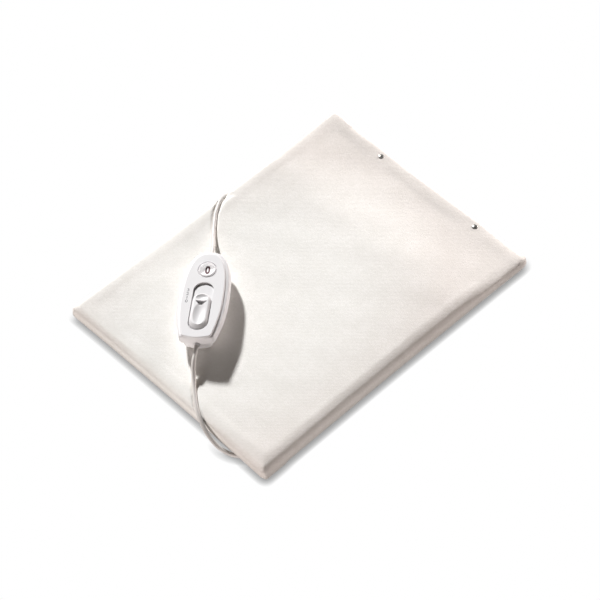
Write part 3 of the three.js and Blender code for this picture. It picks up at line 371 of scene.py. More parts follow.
def frosted_acrylic():
    """The same acrylic where the mould left it matt: half of the light scatters on its skin."""
    m = new_material("frosted_acrylic")
    through = add(m, "ShaderNodeBsdfTransparent", {"Color": ink("F0F0F0")})
    skin = add(m, "ShaderNodeBsdfPrincipled", {
        "Base Color": tinted(m, grain(m, 0.0008, 3), "CFCDD0", "DEDCDF"),
        "Roughness": 0.55,
        "IOR": 1.49,
    })
    mixed = add(m, "ShaderNodeMixShader", {0: 0.6, 1: through.outputs[0], 2: skin.outputs[0]})
    return close(m, mixed.outputs[0])


def number_disc():
    """Translucent white plastic of the number wheel, with painted light: it glows a little by emission,
    standing in for the daylight that the clear cap over it leads down to it, which straight shadow rays leave
    out."""
    m = new_material("number_disc")
    shader = add(m, "ShaderNodeBsdfPrincipled", {
        "Base Color": tinted(m, grain(m, 0.002, 3), "E4E2E3", "EEECED"),
        "Roughness": 0.5,
        # Painted light: the disc's own small glow.
        "Emission Color": ink("FBF9F8"),
        "Emission Strength": 0.45,
    })
    return close(m, shader.outputs[0])


def printed(name, light, dark):
    """Pad-printed ink: a thin matt film, a little uneven in density."""
    m = new_material(name)
    film = grain(m, 0.0007, 3)
    shader = add(m, "ShaderNodeBsdfPrincipled", {
        "Base Color": tinted(m, film, dark, light),
        "Roughness": between(m, film, 0.5, 0.65),
    })
    return close(m, shader.outputs[0])


FLANNEL = flannel()
WHITE = moulded("white_abs", "DEDCDD", "D9D7D8", 0.46)
GREY = moulded("grey_abs", "96989B", "8B8D90", 0.5)
BLACK = moulded("black_nylon", "2A2A2C", "202022", 0.5)
PVC = extruded_pvc()
NICKEL = plated("nickel_plate", "A5A29E", "8A8783", 0.36, 0.0004)
STEEL = plated("zinc_plate", "C6C8CB", "A9ACB0", 0.36, 0.0006)
BRASS = plated("brass_strip", "D0B26C", "B6944C", 0.3, 0.0005)
BOARD = laminate()
CLEAR = clear_acrylic()
FROSTED = frosted_acrylic()
PAINTED_GLOW_DISC = number_disc()
MAROON_INK = printed("maroon_ink", "6A2A34", "521E28")
GREY_INK = printed("grey_ink", "77777C", "66666C")


# Making and finishing pieces.
def only(piece):
    bpy.ops.object.select_all(action="DESELECT")
    piece.select_set(True)
    bpy.context.view_layer.objects.active = piece


def draw_up(name, plan, levels, half=(1, 1), centre=(0, 0)):
    """A body extruded from a flat plan, level by level. Each level is a height and how far the plan, whose
    half width and half length are given, is drawn in there; a third number is the draw at its -Y end."""
    rings = []
    for height, inset, *rear in levels:
        tail = rear[0] if rear else inset
        rings.append((1 - inset / half[0], 1 - (inset + tail) / (2 * half[1]), (tail - inset) / 2, height))
    bpy.ops.object.select_all(action="DESELECT")
    bpy.ops.mesh.primitive_circle_add(vertices=len(plan), radius=MM, fill_type="NGON")
    body = bpy.context.object
    body.name = name
    across, along, shift, height = rings[0]
    for point, (x, y) in zip(body.data.vertices, plan):
        point.co = (x * MM, y * MM, height * MM)
    bpy.ops.object.mode_set(mode="EDIT")
    bpy.ops.mesh.select_all(action="SELECT")
    bpy.ops.transform.resize(value=(across, along, 1), center_override=(centre[0] * MM, centre[1] * MM, 0))
    bpy.ops.transform.translate(value=(0, shift * MM, 0))
    for was, now in zip(rings, rings[1:]):
        rise = (0, (now[2] - was[2]) * MM, (now[3] - was[3]) * MM)
        bpy.ops.mesh.extrude_region_move(TRANSFORM_OT_translate={"value": rise})
        pivot = (centre[0] * MM, (centre[1] + now[2]) * MM, 0)
        bpy.ops.transform.resize(value=(now[0] / was[0], now[1] / was[1], 1), center_override=pivot)
    bpy.ops.mesh.select_all(action="SELECT")
    bpy.ops.mesh.normals_make_consistent(inside=False)
    bpy.ops.object.mode_set(mode="OBJECT")
    return body


def shape_with(piece, tool, operation="DIFFERENCE"):
    """Cut a tool out of a piece, or join it on, and put the tool away."""
    joint = piece.modifiers.new("shape", "BOOLEAN")
    joint.operation = operation
    joint.solver = "EXACT"
    joint.object = tool
    only(piece)
    bpy.ops.object.modifier_apply(modifier=joint.name)
    bpy.data.objects.remove(tool, do_unlink=True)


def settle(piece, place):
    """Put a piece modelled in its own frame where it belongs, and leave its object at the origin."""
    piece.matrix_world = place
    only(piece)
    bpy.ops.object.transform_apply(location=True, rotation=True, scale=True)


def smooth_over(piece, angle=35):
    """Smooth shading that keeps edges sharper than the angle, and keeps flat faces flat."""
    only(piece)
    bpy.ops.object.mode_set(mode="EDIT")
    bpy.ops.mesh.select_all(action="SELECT")
    bpy.ops.mesh.remove_doubles(threshold=0.000002)
    bpy.ops.mesh.normals_make_consistent(inside=False)
    bpy.ops.object.mode_set(mode="OBJECT")
    bpy.ops.object.shade_smooth_by_angle(angle=math.radians(angle))
    weighted = piece.modifiers.new("even_normals", "WEIGHTED_NORMAL")
    weighted.keep_sharp = True
    bpy.ops.object.modifier_apply(modifier=weighted.name)


def dress(piece, material, nodes=(), body="pad_and_case"):
    piece.data.materials.clear()
    piece.data.materials.append(material)
    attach(piece, body)
    if nodes:
        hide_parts(*nodes)


def ring(radius, count=48, centre=(0, 0)):
    turns = [2 * math.pi * i / count for i in range(count)]
    return [(centre[0] + radius * math.cos(t), centre[1] + radius * math.sin(t)) for t in turns]


def stadium(width, low, high, steps=24):
    """Plan of a slot with round ends along Y."""
    radius = width / 2
    points = []
    for middle, start in ((high - radius, 0), (low + radius, math.pi)):
        for i in range(steps + 1):
            turn = start + math.pi * i / steps
            points.append((radius * math.cos(turn), middle + radius * math.sin(turn)))
    return points


def round_body(name, radius, count, levels, centre=(0, 0)):
    return draw_up(name, ring(radius, count, centre), levels, (radius, radius), centre)


def rectangle(low_x, high_x, low_y, high_y):
    return [(low_x, low_y), (high_x, low_y), (high_x, high_y), (low_x, high_y)]


# Cords: their routes are those of the solids.
def smooth_line(points, steps):
    """Points along one smooth curve through the given ones."""
    knots = np.array(points, float)
    knots = np.vstack([2 * knots[0] - knots[1], knots, 2 * knots[-1] - knots[-2]])
    line = []
    for a, b, c, d in zip(knots, knots[1:], knots[2:], knots[3:]):
        t1 = np.linalg.norm(b - a) ** 0.5
        t2 = t1 + np.linalg.norm(c - b) ** 0.5
        t3 = t2 + np.linalg.norm(d - c) ** 0.5
        for t in np.linspace(t1, t2, steps, endpoint=False):
            ab = a + (b - a) * t / t1
            bc = b + (c - b) * (t - t1) / (t2 - t1)
            cd = c + (d - c) * (t - t2) / (t3 - t2)
            abc = ab + (bc - ab) * t / t2
            bcd = bc + (cd - bc) * (t - t1) / (t3 - t1)
            line.append(abc + (bcd - abc) * (t - t1) / (t2 - t1))
    line.append(knots[-2])
    return np.array(line)


def along_case(y):
    """A point on the controller's cord axis, in millimetres of the whole object."""
    return tuple((CASE @ (Vector((0, y, PARTING)) * MM)) / MM)


IN_BUSH = (-16, -7.5, 2)
MAINS_ROUTE = [along_case(CASE_HALF[1] + past) for past in IN_BUSH] + [
    (-44.8, 91.5, 32.6), (-39.1, 96.6, 30.9), (-33.8, 102.5, 28.0), (-28.0, 109.3, 24.8),
    (-21.5, 116.2, 22.5), (-15.1, 122.3, 21.3), (-8.7, 128.4, 20.5), (0.0, 136.2, 19.7),
    (10.3, 143.2, 18.5), (18.8, 148.6, 15.9), (26.8, 152.3, 12.0), (34.8, 154.4, 8.3),
    (43.0, 155.0, 5.4), (51.4, 153.6, 3.6), (59.6, 150.2, 2.8), (67.6, 144.9, 2.7),
    (75.0, 137.8, 2.7), (81.6, 128.8, 2.7), (87.0, 117.6, 2.7), (90.9, 104.0, 2.8),
    (92.8, 89.0, 2.9), (93.2, 73.0, 3.0), (93.2, 56.0, 3.1), (93.2, 39.0, 3.15), (93.2, 26.0, 3.15),
]
PAD_ROUTE = [along_case(-CASE_HALF[1] - past) for past in IN_BUSH] + [
    (-150.4, 4.1, 32.5), (-157.7, -1.3, 30.8), (-162.7, -5.7, 28.0),
    (-167.1, -10.3, 25.0), (-171.8, -15.6, 22.3), (-177.0, -21.6, 20.5), (-182.6, -28.6, 19.6),
    (-188.4, -36.4, 18.9), (-193.0, -43.4, 18.2), (-197.0, -51.0, 16.9), (-200.6, -60.0, 14.4),
    (-203.2, -69.8, 11.2), (-204.4, -79.0, 8.1), (-204.2, -87.2, 5.5), (-202.6, -94.6, 3.8),
    (-200.0, -102.0, 2.8), (-195.6, -109.6, 2.7), (-189.0, -116.4, 2.7), (-180.4, -121.4, 2.8),
    (-170.6, -123.9, 3.2), (-161.6, -124.4, 3.7), (-153.3, -124.4, 3.9),
]


def coil_line(steps=40):
    """The mains lead's coil: in along the lower layer, up at the innermost half turn, out along the upper."""
    middle = 2 * math.pi * COIL_LAYER_TURNS
    turns = np.linspace(0, 2 * middle + math.pi / 2, round((2 * COIL_LAYER_TURNS + 0.25) * steps) + 1)
    radius = COIL_INNER + COIL_PITCH * np.abs(turns - middle) / (2 * math.pi)
    climb = np.clip((turns - middle) / math.pi + 0.5, 0, 1)
    height = COIL_LOW + COIL_PITCH * climb * climb * (3 - 2 * climb)
    return np.c_[COIL_CENTRE[0] + radius * np.cos(turns), COIL_CENTRE[1] - radius * np.sin(turns), height]


def cord_piece(name, line):
    curve = bpy.data.curves.new(name, "CURVE")
    curve.dimensions = "3D"
    curve.bevel_depth = CORD_RADIUS * MM
    curve.bevel_resolution = 5
    curve.use_fill_caps = True
    spline = curve.splines.new("POLY")
    spline.points.add(len(line) - 1)
    spline.points.foreach_set("co", np.c_[line * MM, np.ones(len(line))].ravel())
    spline.use_smooth = True
    piece = bpy.data.objects.new(name, curve)
    bpy.context.scene.collection.objects.link(piece)
    return piece


coil = coil_line()
plug_place = coil[-1] - np.array((PLUG_LEAD, 0, 0))
mains_line = np.vstack([smooth_line(MAINS_ROUTE + [tuple(coil[0])], 6)[:-1], coil, plug_place])
pad_line = smooth_line(PAD_ROUTE, 6)
mains = cord_piece("mains_flex", mains_line)
dress(mains, PVC, ("mains_lead", "mains_coil"))
pad_lead = cord_piece("pad_flex", pad_line)
dress(pad_lead, PVC, ("pad_lead",))


# Plug and tie on the mains lead, both under the pad.
def make_plug():
    """Flat two-pin plug lying on its broad side: waisted body, ribbed boot, pins with sleeves."""
    side = []
    a, b, c, d = PLUG_SIDE
    for i in range(17):
        t = i / 16
        x = (1 - t) ** 3 * a + 3 * (1 - t) ** 2 * t * b + 3 * (1 - t) * t * t * c + t ** 3 * d
        y = (1 - t) ** 2 * (1 + 2 * t) * PLUG_NECK + t * t * (3 - 2 * t) * PLUG_WIDEST
        side.append((x, y))
    plan = side + [(x, -y) for x, y in reversed(side)]
    edge = [(0, 2), (0.3, 1.1), (1, 0.4), (2, 0), (11.7, 0), (12.7, 0.4), (13.4, 1.1), (13.7, 2)]
    body = draw_up("plug_body_moulding", plan, edge, ((d - a) / 2, PLUG_WIDEST), ((a + d) / 2, 0))
    boot_levels = [(0.3, 2.5)]
    for rib in range(5):
        start = 2.5 + rib * 4.2
        grown = 0.52 * rib
        boot_levels += [(start, 2.4 - grown), (start + 2.4, 2.15 - grown), (start + 2.5, 2.7 - grown),
                        (start + 4.1, 2.6 - grown)]
    boot = round_body("boot", BOOT_RADIUS, 32, boot_levels)
    lying = Matrix.Rotation(math.pi / 2, 4, "Y")
    settle(boot, Matrix.Translation((0, 0, BOOT_HEIGHT * MM)) @ lying)
    shape_with(body, boot, "UNION")
    place = Matrix.Translation(Vector((*plug_place[:2], 0)) * MM) @ Matrix.Rotation(math.pi, 4, "Z")
    pins = []
    for number, across in ((1, PIN_SIDE), (2, -PIN_SIDE)):
        tip = [(52.5, 0), (56, 0), (66, 0), (66.05, 0.12), (74, 0.12), (74.7, 0.4), (75, 1)]
        pin = round_body(f"plug_pin_{number}_turned", PIN_RADIUS, 24, tip)
        settle(pin, Matrix.Translation((0, across * MM, PIN_HEIGHT * MM)) @ lying)
        settle(pin, place)
        smooth_over(pin)
        dress(pin, NICKEL, (f"plug_pin_{number}",))
        pin.data.materials.append(BLACK)
        for face in pin.data.polygons:
            if face.center.x > (plug_place[0] - SLEEVE_END) * MM:
                face.material_index = 1
        pins.append(pin)
    settle(body, place)
    smooth_over(body)
    dress(body, WHITE, ("plug_body",))
    return [body, *pins]


def make_tie():
    """Band of black plastic in a rounded loop round one side of the coil."""
    left, right, low, top = 6.55, 34.9, 0.25, 11.35
    corner = 2.2
    path = []
    for x, z, start in ((right - corner, top - corner, 0), (left + corner, top - corner, 90),
                        (left + corner, low + corner, 180), (right - corner, low + corner, 270)):
        for i in range(7):
            turn = math.radians(start + 15 * i)
            path.append((x + corner * math.cos(turn), z + corner * math.sin(turn)))
    bpy.ops.object.select_all(action="DESELECT")
    bpy.ops.mesh.primitive_circle_add(vertices=len(path), radius=MM, fill_type="NOTHING")
    band = bpy.context.object
    band.name = "coil_tie_band"
    for point, (x, z) in zip(band.data.vertices, path):
        point.co = (x * MM, 3 * MM, z * MM)
    bpy.ops.object.mode_set(mode="EDIT")
    bpy.ops.mesh.select_all(action="SELECT")
    for _ in range(4):
        bpy.ops.mesh.extrude_region_move(TRANSFORM_OT_translate={"value": (0, 2.5 * MM, 0)})
    bpy.ops.mesh.select_all(action="SELECT")
    bpy.ops.mesh.normals_make_consistent(inside=False)
    bpy.ops.object.mode_set(mode="OBJECT")
    wall = band.modifiers.new("wall", "SOLIDIFY")
    wall.thickness = 0.45 * MM
    wall.offset = 0
    only(band)
    bpy.ops.object.modifier_apply(modifier=wall.name)
    smooth_over(band)
    dress(band, BLACK, ("coil_tie",))
    return band


on_mains = [*make_plug(), make_tie()]


# Pad.
def fade(low, high, value):
    share = np.clip((value - low) / (high - low), 0, 1)
    return share * share * (3 - 2 * share)


def edge_room(x, y):
    """How far points in the plan lie inside the pad's outline, whose sides are drawn in a little between its
    corners."""
    x = x - PAD_SHIFT[0]
    y = y - PAD_SHIFT[1]
    across = np.abs(x) / (1 - PAD_DRAW_IN / PAD_HALF[0] * (1 - (y / PAD_HALF[1]) ** 2))
    along = np.abs(y) / (1 - PAD_DRAW_IN / PAD_HALF[1] * (1 - (x / PAD_HALF[0]) ** 2))
    corner = np.zeros(len(x))
    for (side_x, side_y), radius in PAD_CORNERS.items():
        corner[(x * side_x >= 0) & (y * side_y >= 0)] = radius
    past_x = across - PAD_HALF[0] - PAD_GROWTH[0] + corner
    past_y = along - PAD_HALF[1] - PAD_GROWTH[1] + corner
    beyond = np.hypot(np.maximum(past_x, 0), np.maximum(past_y, 0))
    return corner - beyond - np.minimum(np.maximum(past_x, past_y), 0)


def edge_slope(x, y):
    """The room's slope in the plan, which points inwards from the edge."""
    step = 0.01
    room = edge_room(x, y)
    return np.c_[edge_room(x + step, y) - room, edge_room(x, y + step) - room] / step


def swell(x, y):
    return np.clip(1 - (x / PAD_HALF[0]) ** 2, 0, 1) * np.clip(1 - (y / PAD_HALF[1]) ** 2, 0, 1)


def pad_top(x, y):
    rim = RIM_NEAR + (RIM_FAR - RIM_NEAR) * fade(*RIM_CLIMB, y)
    crowned = rim + (CROWN - rim) * swell(x, y) ** CROWN_FULLNESS
    hem = HEM_HEIGHT + HEM_END_RISE * fade(HEM_REACH, HEM_END, y)
    return crowned + (hem - crowned) * fade(HEM_START, HEM_FLAT, x)


def pad_under(x, y):
    return HOLLOW_RISE * fade(*HOLLOW_SPREAD, swell(x, y))


def edge_run(x, y):
    """How broadly the top rounds down to the edge: most on the near side, least at the thin hem."""
    run = EDGE_RUN + (EDGE_RUN_HEM - EDGE_RUN) * fade(HEM_START, HEM_FLAT, x)
    return run + (EDGE_RUN_NEAR - run) * fade(*NEAR_SIDE, -y)


def edge_middle(x, y):
    """Height at which the pad is widest: a little lower on the two near sides than elsewhere."""
    near = np.maximum(fade(*NEAR_SIDE, -y), fade(*LEFT_SIDE, -x)) * (1 - fade(HEM_START, HEM_FLAT, x))
    return EDGE_MIDDLE + (EDGE_MIDDLE_NEAR - EDGE_MIDDLE) * near


def rounded(room, run, fullness=2):
    """Share of the full height at some room from the edge: a quarter round, or a fuller one."""
    return (1 - (1 - np.clip(room / run, 0, 1)) ** fullness) ** (1 / fullness)


def points_of(mesh):
    flat = np.empty(len(mesh.vertices) * 3)
    mesh.vertices.foreach_get("co", flat)
    return flat.reshape(-1, 3) / MM


def write_points(mesh, points):
    mesh.vertices.foreach_set("co", (points * MM).ravel())
    mesh.update()


def pad_skin(name, upper):
    """One skin of the pad, from a flat grid whose points outside the outline are drawn onto it."""
    bpy.ops.object.select_all(action="DESELECT")
    bpy.ops.mesh.primitive_grid_add(x_subdivisions=200, y_subdivisions=150, size=1)
    skin = bpy.context.object
    skin.name = name
    size = [2 * (half + growth) for half, growth in zip(PAD_HALF, PAD_GROWTH)]
    points = points_of(skin.data) * MM * (*size, 0) + (*PAD_SHIFT, 0)
    for _ in range(4):
        x, y = points[:, 0], points[:, 1]
        slope = edge_slope(x, y)
        steep = np.maximum((slope ** 2).sum(axis=1), 0.1)
        out = np.minimum(edge_room(x, y), 0) / steep
        points[:, :2] -= out[:, None] * slope
    x, y = points[:, 0], points[:, 1]
    room = np.maximum(edge_room(x, y), 0)
    room[(np.abs(points_of(skin.data)) * MM).max(axis=1) > 0.4999] = 0
    middle = edge_middle(x, y)
    if upper:
        points[:, 2] = middle + (pad_top(x, y) - middle) * rounded(room, edge_run(x, y), EDGE_FULLNESS)
    else:
        points[:, 2] = middle + (pad_under(x, y) - middle) * rounded(room, middle)
    write_points(skin.data, points)
    return skin


def plan_distance(points, line):
    """For each point, how far it is from a line seen from above, the line's height there, and the way from
    the line to the point."""
    best = np.full(len(points), 1e9)
    height = np.zeros(len(points))
    offset = np.zeros((len(points), 2))
    for a, b in zip(line, line[1:]):
        run = b[:2] - a[:2]
        share = np.clip(((points[:, :2] - a[:2]) @ run) / max(run @ run, 1e-9), 0, 1)
        apart = points[:, :2] - a[:2] - share[:, None] * run
        away = np.hypot(*apart.T)
        nearer = away < best
        best[nearer] = away[nearer]
        offset[nearer] = apart[nearer]
        height[nearer] = (a[2] + share * (b[2] - a[2]))[nearer]
    return best, height, offset


def swell_edges(pad):
    """Let the cover's edges fill out like a stuffed case: cloth under a little pressure, held at its middle
    and at the studs."""
    rest = points_of(pad.data)
    hold = fade(*EDGE_HELD, edge_room(rest[:, 0], rest[:, 1]))
    for x, y in STUDS:
        away = np.hypot(rest[:, 0] - x, rest[:, 1] - y)
        hold = np.maximum(hold, 1 - fade(STUD_HOLD, 2 * STUD_HOLD, away))
    pins = pad.vertex_groups.new(name="held")
    for index, weight in enumerate(hold):
        pins.add([index], float(weight), "REPLACE")
    cloth = pad.modifiers.new("cloth", "CLOTH")
    cloth.settings.quality = 5
    cloth.settings.mass = 0.2
    cloth.settings.tension_stiffness = 20
    cloth.settings.compression_stiffness = 20
    cloth.settings.shear_stiffness = 8
    cloth.settings.bending_stiffness = 0.5
    cloth.settings.use_pressure = True
    cloth.settings.uniform_pressure_force = SWELL_PRESSURE
    cloth.settings.effector_weights.gravity = 0
    cloth.settings.vertex_group_mass = pins.name
    cloth.point_cache.frame_start = 1
    cloth.point_cache.frame_end = SWELL_FRAMES
    scene = bpy.context.scene
    for number in range(1, SWELL_FRAMES + 1):
        scene.frame_set(number)
    swollen = points_of(pad.evaluated_get(bpy.context.evaluated_depsgraph_get()).data)
    pad.modifiers.remove(cloth)
    pad.vertex_groups.remove(pins)
    scene.frame_set(1)
    moved = swollen - rest
    far = np.linalg.norm(moved, axis=1)
    moved *= (SWELL_MOST / np.maximum(far, SWELL_MOST))[:, None]
    write_points(pad.data, rest + moved)


def lay_cords(points, up):
    """Grooves where the cords lie on the pad or under it, and dents where they hang beside its edge. The coil
    lies in the hollow under the pad, where it presses nothing."""
    groove = CORD_RADIUS + CORD_ROOM
    for line in (mains_line[:MAINS_FELT], pad_line):
        away, height, offset = plan_distance(points, line)
        drop = np.sqrt(np.maximum(groove ** 2 - away ** 2, 0))
        aside = np.maximum(away - groove, 0)
        # Beside a groove the cloth comes back to its own height, steeply on top and more gently below.
        on_top = fade(*CORD_DROPS, height)
        most = height - drop - 0.15 + 0.9 * aside
        points[:, 2] -= np.where(up, on_top * np.maximum(points[:, 2] - most, 0), 0)
        under = ~up & (height < CORD_UNDER)
        least = height + drop + 0.2 - 0.5 * aside
        points[under, 2] = np.maximum(points[under, 2], least[under])
        inward = edge_slope(points[:, 0], points[:, 1])
        clear = np.sqrt(np.maximum(groove ** 2 - (points[:, 2] - height) ** 2, 0))
        dent = np.maximum(clear - (offset * inward).sum(axis=1), 0) * (1 - on_top)
        dented = (clear > 0) & (away < 2 * groove) & (height > CORD_LIES)
        points[dented, :2] += (dent[:, None] * inward)[dented]


def lay_controller(points, up):
    """The controller's weight draws the pad down round its low side, and its underside presses in."""
    turned = np.array(CASE.inverted())
    own = points * MM @ turned[:3, :3].T / MM + turned[:3, 3] / MM
    power = np.where(own[:, 1] > 0, NOSE_FULLNESS, TAIL_FULLNESS)
    shares = np.abs(own[:, :2] / CASE_HALF)
    norm = (shares ** power[:, None]).sum(axis=1) ** (1 / power)
    aside = np.clip((norm - 1) * CASE_HALF[0] / SAG_REACH, 0, 1)
    sag = np.where(up, SAG * (1 - aside) ** 2 * fade(-SAG_SIDE, SAG_SIDE, -own[:, 0]), 0)
    points[:, 2] -= sag
    own[:, 2] -= sag
    inset, low_skin = zip(*SHELL_UNDERSIDE)
    floor = np.interp(CASE_HALF[0] * (1 - norm), inset, low_skin)
    low = up & (norm < 1) & (own[:, 2] > floor - CASE_SINKS)
    points[low, 2] -= own[low, 2] - floor[low] + CASE_SINKS


def press_in(pad):
    """Rest the pad on its rim, and press in what lies on it and under it."""
    normals = np.empty(len(pad.data.vertices) * 3)
    pad.data.vertices.foreach_get("normal", normals)
    up = normals.reshape(-1, 3)[:, 2] > 0
    points = points_of(pad.data)
    x, y = points[:, 0], points[:, 1]
    # Loose stuffing: shallow hills and dips all over.
    lumps = np.sin(x / 31 + 1.3) * np.sin(y / 27 + 0.4)
    lumps += 0.7 * np.sin(x / 17 - y / 23) + 0.4 * np.sin(x / 9 + y / 13)
    points[:, 2] += np.where(up, LUMPS * lumps * fade(0, LUMPS_START, edge_room(x, y)), 0)
    lay_cords(points, up)
    lay_controller(points, up)
    # The underside leaves room for the studs' rivets.
    for stud_x, stud_y in STUDS:
        away = np.hypot(x - stud_x, y - stud_y)
        below = ~up & (away < RIVET_FELT)
        least = RIVET_HEIGHT - 0.6 * np.maximum(away[below] - RIVET_RADIUS, 0)
        points[below, 2] = np.maximum(points[below, 2], least)
    points[:, 2] = np.maximum(points[:, 2], 0)
    write_points(pad.data, points)


def make_pad():
    upper = pad_skin("pad_case", True)
    lower = pad_skin("lower_skin", False)
    only(lower)
    bpy.ops.object.mode_set(mode="EDIT")
    bpy.ops.mesh.select_all(action="SELECT")
    bpy.ops.mesh.flip_normals()
    bpy.ops.object.mode_set(mode="OBJECT")
    upper.select_set(True)
    bpy.context.view_layer.objects.active = upper
    bpy.ops.object.join()
    pad = bpy.context.object
    bpy.ops.object.mode_set(mode="EDIT")
    bpy.ops.mesh.select_all(action="SELECT")
    bpy.ops.mesh.remove_doubles(threshold=0.00005)
    bpy.ops.mesh.normals_make_consistent(inside=False)
    bpy.ops.object.mode_set(mode="OBJECT")
    even = pad.modifiers.new("even_mesh", "REMESH")
    even.mode = "VOXEL"
    even.voxel_size = 4 * MM
    bpy.ops.object.modifier_apply(modifier=even.name)
    swell_edges(pad)
    finer = pad.modifiers.new("finer", "SUBSURF")
    finer.levels = 1
    finer.render_levels = 1
    only(pad)
    bpy.ops.object.modifier_apply(modifier=finer.name)
    press_in(pad)
    opening = draw_up("opening", rectangle(*OPENING), [(OPENING_LOW, 0), (OPENING_HIGH, 0)])
    shape_with(pad, opening)
    only(pad)
    bpy.ops.object.shade_smooth_by_angle(angle=math.radians(60))
    dress(pad, FLANNEL, ("pad_cover", "upper_wadding", "lower_wadding", "element_sheet"))


make_pad()


# Press studs: a domed cap with a rolled rim, modelled once and copied.
def make_studs():
    cap_levels = [(-0.4, 1.0), (-0.3, 0.4), (-0.1, 0.06), (0.1, 0), (0.3, 0.12), (0.45, 0.4), (0.5, 0.7),
                  (0.42, 0.95), (0.44, 1.15), (0.6, 1.6), (0.72, 2.2), (0.8, 2.8), (0.84, 3.2)]
    first = round_body("stud_cap_1_dome", STUD_RADIUS, 40, cap_levels)
    second = first.copy()
    second.data = first.data.copy()
    second.name = "stud_cap_2_dome"
    bpy.context.scene.collection.objects.link(second)
    for number, (cap, (x, y)) in enumerate(zip((first, second), STUDS), 1):
        height = pad_top(np.array([x]), np.array([y]))[0]
        settle(cap, Matrix.Translation(Vector((x, y, height)) * MM))
        smooth_over(cap)
        dress(cap, NICKEL, (f"stud_cap_{number}",))


make_studs()


# Controller, modelled in its own frame: +Y to its nose, +Z up.
def case_plan():
    """Full round nose, sides that taper to a slightly bowed tail with small corners."""
    points = []
    power = 2 / NOSE_FULLNESS
    for i in range(61):
        turn = math.pi * i / 60
        across = math.copysign(abs(math.cos(turn)) ** power, math.cos(turn))
        along = CASE_WIDEST + (CASE_HALF[1] - CASE_WIDEST) * max(math.sin(turn), 0) ** power
        points.append((CASE_HALF[0] * across, along))
    tail = CASE_TAIL_CORNER + CASE_TAIL_BOW - CASE_HALF[1]
    corner_x = CASE_TAIL_CORNER - CASE_TAIL_HALF
    left = []
    for i in range(1, 13):
        share = i / 12
        narrowing = (CASE_HALF[0] - CASE_TAIL_HALF) * share ** 2
        left.append((narrowing - CASE_HALF[0], CASE_WIDEST + (tail - CASE_WIDEST) * share))
    for angle in range(205, 271, 13):
        turn = math.radians(angle)
        left.append((corner_x + CASE_TAIL_CORNER * math.cos(turn), tail + CASE_TAIL_CORNER * math.sin(turn)))
    for i in range(1, 6):
        share = 1 - i / 6
        left.append((corner_x * share, CASE_TAIL_BOW * share ** 2 - CASE_HALF[1]))
    return points + left + [(0, -CASE_HALF[1])] + [(-x, y) for x, y in reversed(left)]


def cut_cord_holes(piece):
    for end in (1, -1):
        hole = round_body("hole", CORD_HOLE, 32, [(-14, 0), (14, 0)])
        place = Matrix.Translation(Vector((0, end * 57, PARTING)) * MM)
        settle(hole, place @ Matrix.Rotation(math.pi / 2, 4, "X"))
        shape_with(piece, hole)


def make_case():
    plan = case_plan()
    skin = [
        (PARTING, 0.5, 0.4), (10.75, 0.1, 0.1), (11.1, 0, 0), (14, 0.03, 0.03), (16.5, 0.1, 0.1),
        (17.6, 0.3, 0.18), (18.4, 0.6, 0.3), (19, 1.0, 0.4), (19.5, 1.5, 0.5), (19.75, 2.1, 0.55),
        (19.9, 2.9, 0.6), (20.05, 3.7, 0.65), (20.2, 4.4, 0.7), (20.25, 4.66, 0.75), (21, 4.75, 0.85),
        (21.5, 4.9, 1.0), (21.8, 5.15, 1.25), (21.95, 5.45, 1.5), (FACE_TOP, 5.9, 1.9),
    ]
    cover = draw_up("case_cover", plan, skin, CASE_HALF)
    hollow = [(9.5, 2, 2), (15.5, 2.3, 2.1), (17.4, 3.6, 2.3), (18.1, 5.4, 2.5), (20, 7.6, 2.8)]
    inside = draw_up("inside", plan, hollow, CASE_HALF)
    shape_with(cover, inside)
    width, low, high = RECESS
    half = (width / 2, (high - low) / 2)
    middle = (0, (high + low) / 2)
    pan = draw_up("pan", stadium(width + 3, low - 1.5, high + 1.5), [(PAN_LOW, 0), (20.5, 0)])
    shape_with(cover, pan, "UNION")
    room = [(RECESS_FLOOR, 0.4), (20.3, 0.08), (20.5, 0), (21.6, 0), (21.85, -0.1), (22.02, -0.4), (23, -0.4)]
    shape_with(cover, draw_up("recess", stadium(width, low, high), room, half, middle))
    shape_with(cover, draw_up("slot", rectangle(-2.7, 2.7, STEM_Y - 4.5, STEM_Y + 19.5), [(17, 0), (21, 0)]))
    window = [(17, 0), (21.5, 0), (21.8, -0.15), (22.02, -0.5), (23, -0.5)]
    shape_with(cover, round_body("window", WINDOW_RADIUS, 64, window, (0, WINDOW_Y)))
    cut_cord_holes(cover)
    settle(cover, CASE)
    smooth_over(cover)
    dress(cover, WHITE, ("top_cover",))

    skin = [
        (0, 9.5, 3.6), (0.15, 8.6, 2.9), (0.8, 7.4, 2.2), (1.6, 6.6, 1.9), (2.6, 6, 1.7), (3.9, 5.55, 1.6),
        (5.4, 5.2, 1.5), (8, 4.85, 1.42), (8.4, 4.6, 1.4), (9.3, 1.9, 1.05), (9.5, 1.65, 1), (10, 1.62, 1),
        (10.2, 1.9, 1.25),
    ]
    shell = draw_up("case_shell", plan, skin, CASE_HALF)
    hollow = [(2, 11.5, 5.2), (3.2, 9.4, 4), (5.8, 7.6, 3.6), (8.4, 7, 3.4), (9.8, 3.6, 3), (11.2, 3.5, 3)]
    shape_with(shell, draw_up("inside", plan, hollow, CASE_HALF))
    for x, y in SCREWS:
        boss = round_body("boss", BOSS_RADIUS, 24, [(1.5, 0), (10.2, 0)], (x, y))
        shape_with(shell, boss, "UNION")
        depths = [(-1, 0), (6.3, 0), (6.3, 1.3), (11, 1.3)]
        shape_with(shell, round_body("bore", BORE_RADIUS, 24, depths, (x, y)))
    cut_cord_holes(shell)
    settle(shell, CASE)
    smooth_over(shell)
    dress(shell, WHITE, ("bottom_shell",))


